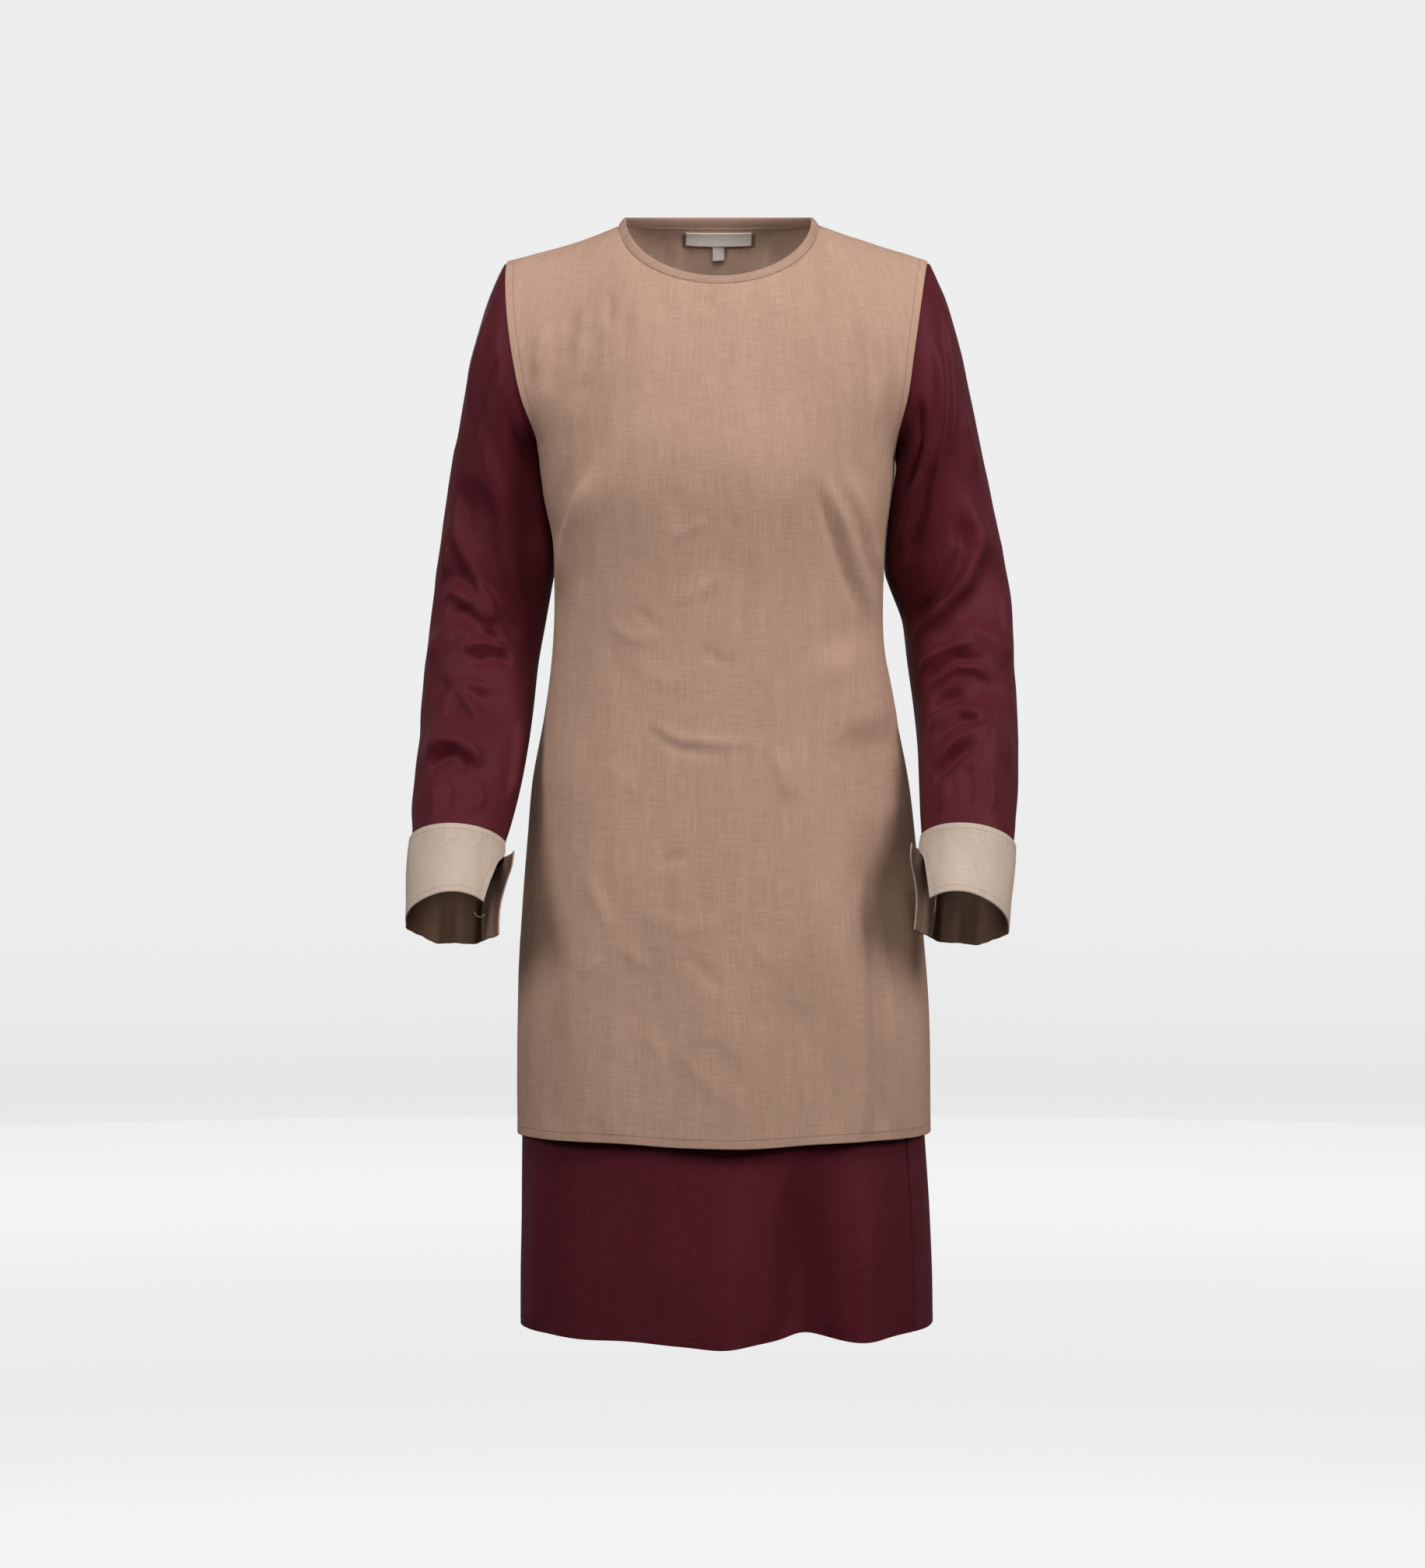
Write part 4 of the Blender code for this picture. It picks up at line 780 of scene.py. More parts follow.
def upper_patch(facing):
    """The chest or upper back, from the underarm level to the shoulders and the neck seam."""
    step = PANEL_SLOPE_STEP
    levels = read_sections(OVER_SECTIONS, [UNDERARM_Z, UNDERARM_Z - step])
    base = half_section(levels[0], UNDERARM_Z, facing)
    below = half_section(levels[1], UNDERARM_Z - step, facing)
    top = top_edge(facing)
    length = np.linalg.norm(top - base, axis=1, keepdims=True)
    rise = unit(base - below) * length
    from_tip = np.minimum(PLACES, 1 - PLACES)[:, None]
    tip, neck_way, middle = (FRONT_ARRIVAL if facing < 0 else BACK_ARRIVAL)
    on_shoulder = from_tip / SHOULDER_PART
    round_neck = ease((from_tip - SHOULDER_PART) / (0.5 - SHOULDER_PART))
    shoulder_way = (1 - on_shoulder) * np.array(tip) + on_shoulder * np.array(neck_way)
    neckline_way = (1 - round_neck) * np.array(neck_way) + round_neck * np.array(middle)
    way = np.where(on_shoulder < 1, shoulder_way, neckline_way)
    arrive = np.column_stack([np.zeros(len(PLACES)), -facing * way[:, 0], way[:, 1]]) * length
    parts = np.linspace(0.0, 1.0, RISE_ROWS + 1)
    patch = np.array([cubic(base, rise, top, arrive, t) for t in parts])
    for side, edge, near in ((-1, 0, PLACES), (1, -1, 1 - PLACES)):
        miss = armhole_edge(side, facing, parts) - patch[:, edge]
        fade = ((1 - near / ARMHOLE_REACH).clip(0.0) ** 2)[None, :, None]
        patch = patch + miss[:, None, :] * fade
    column = np.arange(len(PLACES))
    corner = np.minimum(np.abs(column - FIRST_NECK), np.abs(column[::-1] - FIRST_NECK))
    below_neck = ease((1 - parts) / CORNER_FADE)[:, None]
    return eased(patch, bump(corner, CORNER_COLUMNS) * below_neck, 1)


def eased(grid, share, axis):
    """A grid drawn smoother along its rows or columns, by a share from 0 to 1 at each point."""
    if axis == 0:
        return eased(grid.swapaxes(0, 1), share.swapaxes(0, 1), 1).swapaxes(0, 1)
    grid = grid.copy()
    for _ in range(EASE_PASSES):
        between = (grid[:, :-2] + grid[:, 2:]) / 2
        grid[:, 1:-1] += 0.5 * share[:, 1:-1, None] * (between - grid[:, 1:-1])
    return grid


def share_normals(front, back):
    """Both panels' normals, made one where the panels meet at side and shoulder seams."""
    front_n, back_n = grid_normals(front, 1.0), grid_normals(back, -1.0)
    for rows, columns in ((slice(0, UNDERARM_ROW + 1), [0, -1]), (-1, SHOULDERS)):
        both = unit(front_n[rows, columns] + back_n[rows, columns])
        front_n[rows, columns] = both
        back_n[rows, columns] = both
    return front_n, back_n


def cloth_ways(grid):
    """How far each point lies from the panel's left, right and top edges, along the cloth."""
    across = travel(grid, 1)
    up = travel(grid, 0)
    return across, across[:, -1:] - across, up, up[-1:] - up


def over_lift(grid, facing):
    """How far the cloth stands off the plain form: folds, creases, wear and seam ditches."""
    folds, creases = ((FRONT_FOLDS, FRONT_CREASES + FRONT_BENT_CREASES) if facing < 0
                      else (BACK_FOLDS, BACK_CREASES))
    quiet = ease(np.minimum(PLACES, 1 - PLACES) / SIDE_QUIET)[None, :]
    from_left, from_right, up, from_top = cloth_ways(grid)
    from_side = np.minimum(from_left, from_right)
    still = ease(from_side / SIDE_STILL) * ease(from_top / TOP_STILL)
    worn = wear(from_left - from_left[:, -1:] / 2, up, OVER_WEAR, facing)
    x, z = grid[..., 0], grid[..., 2]
    lift = relief(x, z, folds) * quiet + (relief(x, z, creases) + worn) * still
    sewn_rows = (z > VENT_TOP_Z) & (np.arange(len(grid)) <= UNDERARM_ROW)[:, None]
    sewn_columns = np.isin(np.arange(len(PLACES)), SHOULDERS)[None, :]
    return (lift + pressed(from_side, SIDE_SEAM) * sewn_rows
            + pressed(from_top, SHOULDER_SEAM) * sewn_columns)


def over_layer():
    """Outer points and shared normals of both panels."""
    heights = np.concatenate([HEM_Z + np.array(HEM_ROWS),
                              np.linspace(HEM_Z + HEM_ROWS[-1], UNDERARM_Z, BODY_ROWS + 1)[1:]])
    rows = read_sections(OVER_SECTIONS, heights)
    plain = []
    for facing in (-1, 1):
        lower = np.array([half_section(row, z, facing) for row, z in zip(rows, heights)])
        grid = np.vstack([lower[:-1], upper_patch(facing)])
        by_row = bump(np.arange(len(grid)) - UNDERARM_ROW, UNDERARM_ROWS)[:, None]
        from_side = np.minimum(PLACES, 1 - PLACES)
        inside = ease((from_side - UNDERARM_FROM) / UNDERARM_FADE)[None, :]
        plain.append(eased(grid, by_row * inside, 0))
    normals = share_normals(*plain)
    panels = []
    for grid, normal, facing in zip(plain, normals, (-1, 1)):
        grid = grid + normal * over_lift(grid, facing)[..., None]
        near_hem = ease(1 - (grid[..., 2] - HEM_Z) / HEM_DIP_REACH)
        dip = HEM_DIP * bump(grid[..., 0] - HEM_DIP_X, HEM_DIP_WIDTH) * near_hem
        grid[..., 2] -= dip + near_hem * wear(grid[..., 0], 0, HEM_WEAR, facing)
        panels.append(grid)
    front_n, back_n = share_normals(*panels)
    return panels[0], front_n, panels[1], back_n


def open_edge(grid):
    """How far each point of a panel lies from its hem, its armhole edges and its side vents."""
    from_left, from_right, up, _ = cloth_ways(grid)
    from_side = np.minimum(from_left, from_right)
    to_armhole = np.hypot(from_side, (up[UNDERARM_ROW] - up).clip(0.0))
    to_vent = np.hypot(from_side, (grid[..., 2] - VENT_TOP_Z).clip(0.0))
    return np.minimum(np.minimum(up, to_armhole), to_vent)


def sewn_edge(grid):
    """How far each point of a panel lies from its side seams and its shoulder seams."""
    from_left, from_right, up, from_top = cloth_ways(grid)
    over_underarm = (up - up[UNDERARM_ROW]).clip(0.0)
    to_side = np.hypot(np.minimum(from_left, from_right), over_underarm)
    to_side = np.hypot(to_side, (VENT_TOP_Z - grid[..., 2]).clip(0.0))
    past_shoulder = (np.minimum(PLACES, 1 - PLACES) - SHOULDER_PART).clip(0.0)[None, :]
    return np.minimum(to_side, np.hypot(from_top, past_shoulder))


def rolled(edge, thick):
    """How far both faces of cloth draw in near its edge, so that it ends in a round roll."""
    radius = thick / 2
    rim = (1 - edge / radius).clip(0.0, 1.0)
    return ROLLED_PART * radius * (1 - np.sqrt(1 - rim ** 2))


def faces_of_cloth(grid, normals, edge, single, doubled, turn_width):
    """The outer and inner faces of cloth that is doubled at its turned edge."""
    thick = single + (doubled - single) * ease((turn_width + TURN_STEP - edge) / TURN_STEP)
    drawn = rolled(edge, thick)
    return grid - normals * drawn[..., None], grid - normals * (thick - drawn)[..., None]


def put_in_scene(name, points, faces):
    """A smooth-shaded mesh of the given points and faces, as an object of the scene."""
    mesh = bpy.data.meshes.new(name)
    mesh.from_pydata(points, [], faces)
    mesh.shade_smooth()
    piece = bpy.data.objects.new(name, mesh)
    bpy.context.scene.collection.objects.link(piece)
    return piece


def shell(name, outer, inner, maps, sign=1.0, ring=False):
    """A closed skin of cloth between an outer and an inner grid, with its texture maps.

    A ring's columns join end to end, and its maps have one column more than its points.
    """
    rows, columns = outer.shape[:2]
    wide = columns + 1 if ring else columns
    at = np.arange(rows * wide).reshape(rows, wide)
    a, b, c, d = at[:-1, :-1], at[:-1, 1:], at[1:, 1:], at[1:, :-1]
    blocks = [((a, b, c, d), (0, 0, 0, 0)), ((d, c, b, a), (1, 1, 1, 1)),
              ((at[0, 1:], at[0, :-1], at[0, :-1], at[0, 1:]), (0, 0, 1, 1)),
              ((at[-1, :-1], at[-1, 1:], at[-1, 1:], at[-1, :-1]), (0, 0, 1, 1))]
    if not ring:
        blocks += [((at[:-1, 0], at[1:, 0], at[1:, 0], at[:-1, 0]), (0, 0, 1, 1)),
                   ((at[1:, -1], at[:-1, -1], at[:-1, -1], at[1:, -1]), (0, 0, 1, 1))]
    corners = np.vstack([np.stack(block, -1).reshape(-1, 4) for block, _ in blocks])
    layers = np.vstack([np.tile(layer, (np.stack(block, -1).size // 4, 1))
                        for block, layer in blocks])
    if sign < 0:
        corners, layers = corners[:, ::-1], layers[:, ::-1]
    vertex = (corners // wide) * columns + (corners % wide) % columns
    faces = vertex + layers * rows * columns
    points = np.vstack([outer.reshape(-1, 3), inner.reshape(-1, 3)])
    piece = put_in_scene(name, points.tolist(), faces.tolist())
    for key, values in maps.items():
        layer = piece.data.uv_layers.new(name=key)
        layer.data.foreach_set("uv", values.reshape(-1, 2)[corners.ravel()].ravel())
    return piece


def pair(u, v):
    """Two values for each point, as a texture map holds them."""
    return np.stack(np.broadcast_arrays(u, v), axis=-1).astype(float)


def widen(values):
    """A ring's map with its first column again at the end."""
    return np.concatenate([values, values[:, :1]], axis=1)


def build_panel(name, grid, normals, sign):
    """One panel of the over-layer as cloth."""
    edge = open_edge(grid)
    from_left, from_right, up, _ = cloth_ways(grid)
    parting = VENT_PART * ease((VENT_TOP_Z - grid[..., 2]) / VENT_RISE)
    inward = unit(np.gradient(grid, axis=1))
    shift = parting * (bump(from_left, VENT_REACH) - bump(from_right, VENT_REACH))
    grid = grid + inward * shift[..., None]
    outer, inner = faces_of_cloth(grid, normals, edge, LINEN, TURNED_LINEN, TURN_WIDTH)
    maps = {"cloth": pair(from_left - from_left[:, -1:] / 2, up),
            "edge": pair(edge, sewn_edge(grid))}
    return shell(name, outer, inner, maps, sign)


def line_across(grid, normals, ways, distance, axis):
    """The points and normals of a grid where the ways reach a distance, for each row or column."""
    if axis == 0:
        grid, normals, ways = (np.swapaxes(values, 0, 1) for values in (grid, normals, ways))
    line = [[np.interp(distance, way, row[:, k]) for k in range(3)]
            for way, row in zip(ways, grid)]
    away = [[np.interp(distance, way, row[:, k]) for k in range(3)]
            for way, row in zip(ways, normals)]
    return np.array(line), unit(np.array(away))


def build_stitches(name, lines):
    """Stitches along lines of points: short lengths of thread that dip into the cloth."""
    sides, rings = STITCH_SIDES, len(STITCH_RINGS)
    turns = np.radians(np.arange(sides) * 360.0 / sides)
    points = []
    for line, normals in lines:
        length = travel(line)
        count = int(length[-1] / STITCH_PITCH)
        where = (np.arange(count) + 0.5) * STITCH_PITCH
        middle, ahead, up = (
            np.stack([np.interp(way, length, values[:, axis]) for axis in range(3)], 1)
            for way, values in ((where, line), (where + STITCH_LOOK_AHEAD, line),
                                (where, normals)))
        along = unit(ahead - middle)
        across = unit(np.cross(along, up))
        up = np.cross(across, along)
        for k in range(count):
            points += [middle[k] + along[k] * (place * STITCH_LONG)
                       + up[k] * (low * STITCH_THICK)
                       + np.cos(turns)[:, None] * across[k] * (STITCH_THICK * size / 2)
                       + np.sin(turns)[:, None] * up[k] * (STITCH_THICK * size / 2)
                       for place, size, low in STITCH_RINGS]
    skin = [(sides * ring + side, sides * ring + (side + 1) % sides,
             sides * (ring + 1) + (side + 1) % sides, sides * (ring + 1) + side)
            for ring in range(rings - 1) for side in range(sides)]
    ends = [tuple(range(sides))[::-1], tuple(range(sides * (rings - 1), sides * rings))]
    faces = [tuple(first + corner for corner in face)
             for first in range(0, sides * len(points), sides * rings) for face in skin + ends]
    return put_in_scene(name, np.vstack(points).tolist(), faces)


def panel_stitch_lines(grid, normals):
    """Where a panel's topstitching runs: beside both armhole edges, and above the hem."""
    from_left, from_right, up, _ = cloth_ways(grid)
    rise = slice(UNDERARM_ROW + 2, None)
    hem_part = slice(6, -6)
    return [line_across(grid[rise], normals[rise], from_left[rise], SEWN_IN, 1),
            line_across(grid[rise, ::-1], normals[rise, ::-1], from_right[rise, ::-1], SEWN_IN, 1),
            line_across(grid[:, hem_part], normals[:, hem_part], up[:, hem_part], SEWN_IN, 0)]


def build_neck_binding(layer):
    """The folded band round the neck, and the line that its stitching follows."""
    front, front_n, back, back_n = layer
    first, last = FIRST_NECK, len(PLACES) - 1 - FIRST_NECK
    turn = np.linspace(0.0, math.pi, last - first + 1)
    seam = np.vstack([front[-1, first:last + 1], back[-1, first + 1:last][::-1]])
    normal = np.vstack([front_n[-1, first:last + 1], back_n[-1, first + 1:last][::-1]])
    edge = np.vstack([neck_point(NECK_EDGE, -1, turn), neck_point(NECK_EDGE, 1, turn)[1:-1][::-1]])
    tall = np.linalg.norm(edge - seam, axis=1, keepdims=True)
    up = unit(edge - seam)
    out = unit(normal - up * np.sum(normal * up, axis=1, keepdims=True))
    along = travel(np.vstack([seam, seam[:1]]))[:, None]
    wave = 1 + BINDING_WAVE * waviness(along[:-1] / BINDING_WAVE_LONG + 9, 0 * along[:-1], 71)
    profile = [(rise, BINDING_FULL * full * wave) for rise, full in BINDING_PROFILE]
    outer = np.array([seam + up * (tall * rise) + out * depth for rise, depth in profile])
    inner = np.array([seam + up * (tall * rise) - out * (depth + BINDING_FULL * BINDING_INNER)
                      for rise, depth in profile])
    across = np.array([rise for rise, _ in BINDING_PROFILE])[:, None] * tall.mean()
    maps = {"cloth": pair(along.T, across), "edge": pair(across + 0 * along.T, 1.0)}
    piece = shell("neck_binding_cloth", outer, inner, maps, ring=True)
    sewn = seam + up * (tall * BINDING_SEWN_UP) + out * (BINDING_FULL * BINDING_SEWN_OUT)
    return piece, (np.vstack([sewn, sewn[:1]]), np.vstack([out, out[:1]]))


def arm_frame(arm, heights):
    """Centres, sizes and ring directions of a sleeve at heights down its centre line."""
    table = sorted(arm)
    knots = [row.z for row in table]
    values = [row[1:] for row in table]
    step = ARM_SLOPE_STEP
    read = smooth(knots, values, heights)
    low = smooth(knots, values, np.asarray(heights) - step)
    high = smooth(knots, values, np.asarray(heights) + step)
    down = unit(np.column_stack([low[:, :2] - high[:, :2], np.full(len(read), -2 * step)]))
    centre = np.column_stack([read[:, :2], heights])
    side = -np.sign(centre[:, :1]) * np.array([[1.0, 0.0, 0.0]])
    bodyward = unit(side - down * np.sum(side * down, axis=1, keepdims=True))
    forward = np.array([[0.0, -1.0, 0.0]])
    forward = unit(forward - down * np.sum(forward * down, axis=1, keepdims=True)
                   - bodyward * np.sum(forward * bodyward, axis=1, keepdims=True))
    return centre, read[:, 2:3], read[:, 3:4], bodyward, forward, down


def arm_rings(arm, heights, turns):
    """Rings of points round a sleeve, `turns` in radians from the body side through the front."""
    centre, across, deep, bodyward, forward, _ = arm_frame(arm, heights)
    cos, sin = np.cos(turns)[..., None], np.sin(turns)[..., None]
    return (centre[:, None] + cos * (across * bodyward)[:, None]
            + sin * (deep * forward)[:, None])


def armhole_loop(layer, side):
    """The armhole edge round one arm from the underarm up the front and down the back, with
    its normals, and the panel points a turn's width in."""
    front, front_n, back, back_n = layer
    edge, inner = (0, TUCK_COLUMN) if side < 0 else (-1, -1 - TUCK_COLUMN)
    up, down = slice(UNDERARM_ROW, None), slice(UNDERARM_ROW + 1, -1)
    loop, normals, inside, inside_n = (
        np.vstack([ahead[up, column], behind[down, column][::-1]])
        for ahead, behind, column in ((front, back, edge), (front_n, back_n, edge),
                                      (front, back, inner), (front_n, back_n, inner)))
    return loop, normals, inside, inside_n


def sleeve_form(layer, side, arm):
    """The plain form of a sleeve, ring by ring from under the armhole edge, with the turns
    round it and each ring's level, and how free it is of the tuck."""
    loop, normals, inside, inside_n = armhole_loop(layer, side)
    count = len(loop)
    around = np.arange(count)
    tangent = unit(np.roll(loop, -1, axis=0) - np.roll(loop, 1, axis=0))
    away = unit(np.cross(normals, tangent)) * -side
    steps = np.minimum(around, count - around) * TUCK_STEPS_PER_EDGE / RISE_ROWS
    tuck = np.interp(steps, range(len(ARMHOLE_TUCK)), ARMHOLE_TUCK)[:, None]
    hidden = (loop + tuck * (inside - loop) + (1 - tuck) * away * UNDERARM_LIFT
              - unit(normals + tuck * (inside_n - normals)) * TUCK_DROP)
    lip = loop + away * HEAD_LIP - normals * TUCK_DROP
    turns = np.linspace(0.0, 2 * math.pi, count, endpoint=False)
    heights = np.append(np.linspace(UPPER_ARM_Z, WRIST_Z, SLEEVE_ARM_ROWS), SLEEVE_END_Z)
    arm_part = arm_rings(arm, heights, turns[None, :])
    down = arm_frame(arm, [UPPER_ARM_Z])[5][0]
    under = (np.cos(turns / 2) ** 4)[:, None]
    sideways = np.array([side, 0.0, 0.0])
    leave = unit((1 - under) * (HEAD_OUT * away + HEAD_DOWN * np.array([0.0, 0.0, -1.0]))
                 + under * (UNDERARM_UP * away + UNDERARM_OUT * sideways))
    span = np.linalg.norm(arm_part[0] - lip, axis=1, keepdims=True)
    leave = leave * span * (HEAD_PULL + (UNDERARM_PULL - HEAD_PULL) * under)
    parts = np.linspace(0.0, 1.0, SLEEVE_HEAD_ROWS + 1)[:-1]
    head = [cubic(lip, leave, arm_part[0], down * span * ARM_PULL, t) for t in parts]
    tucked = [hidden + (lip - hidden) * t for t in TUCKED_ROWS]
    grid = np.vstack([np.array(tucked), np.array(head), arm_part])
    head_levels = np.linspace(SLEEVE_HEAD_Z, UPPER_ARM_Z, SLEEVE_HEAD_ROWS + 1)[:-1]
    levels = np.concatenate([np.full(len(tucked), SLEEVE_HEAD_Z), head_levels, heights])[:, None]
    free = ease((np.arange(len(grid)) - len(tucked)) / HEAD_STILL_ROWS)[:, None]
    return grid, turns, levels, free


def build_sleeve(name, layer, side, arm, creases, seed):
    """One long sleeve, from under the armhole edge down to inside the cuff."""
    grid, turns, levels, free = sleeve_form(layer, side, arm)
    from_seam = np.minimum(turns, 2 * math.pi - turns)[None, :]
    above_wrist = ease((levels - WRIST_Z) / WRIST_STILL)
    calm = above_wrist * free
    girth = turns[None, :] * ARM_GIRTH_RADIUS
    worn = wear(girth, levels, SLEEVE_WEAR, seed) * ease(from_seam / SLEEVE_SEAM_STILL)
    degree = math.radians(1.0) * ARM_GIRTH_RADIUS
    creased = relief(girth, levels, creases, degree)
    creased = SLEEVE_MOST * np.tanh(SLEEVE_DEEPEN * creased / SLEEVE_MOST)
    lift = relief(girth, levels, ARM_FOLDS, degree) * above_wrist + (creased + worn) * calm
    lift = lift - SEAM_DITCH * bump(from_seam * ARM_GIRTH_RADIUS, SLEEVE_DITCH) * calm
    outward = grid_normals(grid, -side, ring=True)
    grid = grid + outward * lift[..., None]
    outward = grid_normals(grid, -side, ring=True)
    down_sleeve = widen(travel(grid))
    end = down_sleeve[-1:] - down_sleeve
    maps = {"cloth": pair(np.append(turns, 2 * math.pi)[None, :] * ARM_GIRTH_RADIUS, -down_sleeve),
            "edge": pair(end, widen(from_seam) * ARM_GIRTH_RADIUS)}
    return shell(name, grid, grid - outward * SATIN, maps, -side, ring=True)


def cuff_faces(arm, seed):
    """The cuff's inner points, outward directions, and how far each lies from its edges."""
    heights = CUFF_ROWS[0].z - (CUFF_ROWS[0].z - CUFF_ROWS[-1].z) * CUFF_DOWN
    table = sorted(CUFF_ROWS)
    rows = smooth([row.z for row in table], [row[1:] for row in table], heights)
    degrees = rows[:, :1] + CUFF_ROUND[None, :] * (rows[:, 1:2] - rows[:, :1])
    grid = arm_rings(arm, heights, np.radians(degrees))
    outward = unit(grid - arm_frame(arm, heights)[0][:, None])
    flare = rows[:, 2:] * ease((degrees - degrees[:, -1:]) / CUFF_FLARE_TURN + 1.0)
    girth = np.radians(degrees) * ARM_GIRTH_RADIUS
    down = (CUFF_ROWS[0].z - heights)[:, None]
    creased = sum(crease.depth * bump(degrees - crease.turn, crease.width)
                  for crease in CUFF_CREASES)
    loose = (wear(girth, down, CUFF_WEAR, seed) * ease(down / CUFF_WEAR_FULL)
             + creased * ease((down - CUFF_CREASE_STARTS) / CUFF_FULL_OVER))
    grid = grid + outward * (CUFF_EASE + flare + loose)[..., None]
    arch = CUFF_RIM_ARCH * bump(degrees - CUFF_FRONT_TURN, CUFF_RIM_ARCH_TURN)
    grid[..., 2] += arch * ease((down - CUFF_ARCH_STARTS) / CUFF_FULL_OVER)
    to_start, to_end = travel(grid, 1), travel(grid[:, ::-1], 1)[:, ::-1]
    to_top, to_rim = travel(grid), travel(grid[::-1])[::-1]
    return grid, outward, to_start, to_end, to_top, to_rim


def build_cuff(name, side, arm, seed):
    """One cuff as doubled linen with rolled edges, and the lines that its stitching follows."""
    grid, outward, to_start, to_end, to_top, to_rim = cuff_faces(arm, seed)
    edge = np.minimum(np.minimum(to_start, to_end), np.minimum(to_top, to_rim))
    drawn = rolled(edge, CUFF_THICK)[..., None]
    outer = grid + outward * (CUFF_THICK - drawn)
    sign = 1.0 if side < 0 else -1.0
    maps = {"cloth": pair(to_start, -to_top), "edge": pair(edge, to_top)}
    piece = shell(name, outer, grid + outward * drawn, maps, sign)
    lines = [line_across(outer, outward, to_rim, distance, 0) for distance in CUFF_SEWN_IN]
    return piece, lines


def skirt_ring(layer):
    """Outer points of the whole skirt: its hidden top follows the over-layer's inside."""
    front, front_n, back, back_n = layer
    heights = np.concatenate([SKIRT_HEM_Z + np.array(HEM_ROWS),
                              np.linspace(SKIRT_HEM_Z + HEM_ROWS[-1], HEM_Z, SKIRT_ROWS + 1)[1:]])
    rows = read_sections(SKIRT_SECTIONS, heights)
    quiet = ease(np.minimum(PLACES, 1 - PLACES) / SIDE_QUIET)[None, :]
    halves = []
    for facing, folds, creases in ((-1, SKIRT_FRONT_FOLDS, SKIRT_FRONT_CREASES),
                                   (1, SKIRT_BACK_FOLDS, SKIRT_BACK_CREASES)):
        half = np.array([half_section(row, z, facing) for row, z in zip(rows, heights)])
        from_left, from_right, up, _ = cloth_ways(half)
        from_side = np.minimum(from_left, from_right)
        x, z = half[..., 0], half[..., 2]
        lift = relief(x, z, folds) * quiet
        worn = wear(from_left - from_left[:, -1:] / 2, up, SKIRT_WEAR, facing)
        creased = (relief(x, z, creases) + worn) * ease(from_side / SKIRT_SIDE_STILL)
        half = half + grid_normals(half, -facing) * (lift + creased)[..., None]
        halves.append(half + lift[..., None] * np.array([0.0, 0.0, -SKIRT_HEM_FALL]))
    shown = np.hstack([halves[0], halves[1][:, 1:-1][:, ::-1]])
    over = np.hstack([front, back[:, 1:-1][:, ::-1]])
    over_n = np.hstack([front_n, back_n[:, 1:-1][:, ::-1]])
    hidden = []
    for row in range(1, UNDERARM_ROW):
        up = (over[row, :, 2].mean() - HEM_Z) / (SKIRT_TOP_Z - HEM_Z)
        if SKIRT_FREE_PART <= up <= 1:
            close = over[row] - over_n[row] * (LINEN + SKIRT_GAP)
            loose = over[row] - (over[0] - shown[-1])
            hidden.append(ease(up) * close + ease(1 - up) * loose)
    return np.vstack([shown, np.array(hidden)])


def build_skirt(layer):
    """The skirt's front and back, cut at its two side seams, and their stitching lines."""
    ring = skirt_ring(layer)
    count = ring.shape[1]
    rise = travel(ring)
    near_hem = slice(SKIRT_MEASURED_ROW, SKIRT_MEASURED_ROW + 1)
    round_skirt = travel(widen(ring[near_hem]), 1)[0]
    right = int(np.searchsorted(PLACES, SKIRT_RIGHT_SEAM))
    left = count - int(np.searchsorted(PLACES, -SKIRT_LEFT_SEAM))
    from_seam = np.minimum.reduce([np.abs(round_skirt[:-1] - round_skirt[right]),
                                   np.abs(round_skirt[:-1] - round_skirt[left])])[None, :]
    normals = grid_normals(ring, 1.0, ring=True)
    ring = ring + normals * pressed(from_seam, SKIRT_SEAM)[..., None]
    normals = grid_normals(ring, 1.0, ring=True)
    pieces = []
    for name, start, end in (("underskirt_front_cloth", left - count, right),
                             ("underskirt_back_cloth", right, left)):
        columns = [column % count for column in range(start, end + 1)]
        grid, away, up = ring[:, columns], normals[:, columns], rise[:, columns]
        outer, inner = faces_of_cloth(grid, away, up, SATIN, TURNED_SATIN, SKIRT_TURN_WIDTH)
        across = travel(grid[near_hem], 1)
        maps = {"cloth": pair(across, up),
                "edge": pair(up, np.minimum(across, across[:, -1:] - across))}
        sewn = slice(2, -2)
        line = line_across(grid[:, sewn], away[:, sewn], up[:, sewn], SKIRT_SEWN_IN, 0)
        pieces.append((shell(name, outer, inner, maps), line))
    return pieces


def back_point(layer, x, down):
    """A point of the back panel and its normal: x at the neck seam, then a way down the cloth."""
    back, back_n = layer[2], layer[3]
    neck = len(PLACES) - 1 - 2 * FIRST_NECK
    column = FIRST_NECK + neck * math.acos(-x / NECK_SEAM.half_width) / math.pi
    low = int(column)
    part = column - low
    line = ((1 - part) * back[:, low] + part * back[:, low + 1])[::-1]
    normal = ((1 - part) * back_n[:, low] + part * back_n[:, low + 1])[::-1]
    length = travel(line)
    point = [np.interp(down, length, line[:, axis]) for axis in range(3)]
    away = [np.interp(down, length, normal[:, axis]) for axis in range(3)]
    return np.array(point), unit(np.array(away))


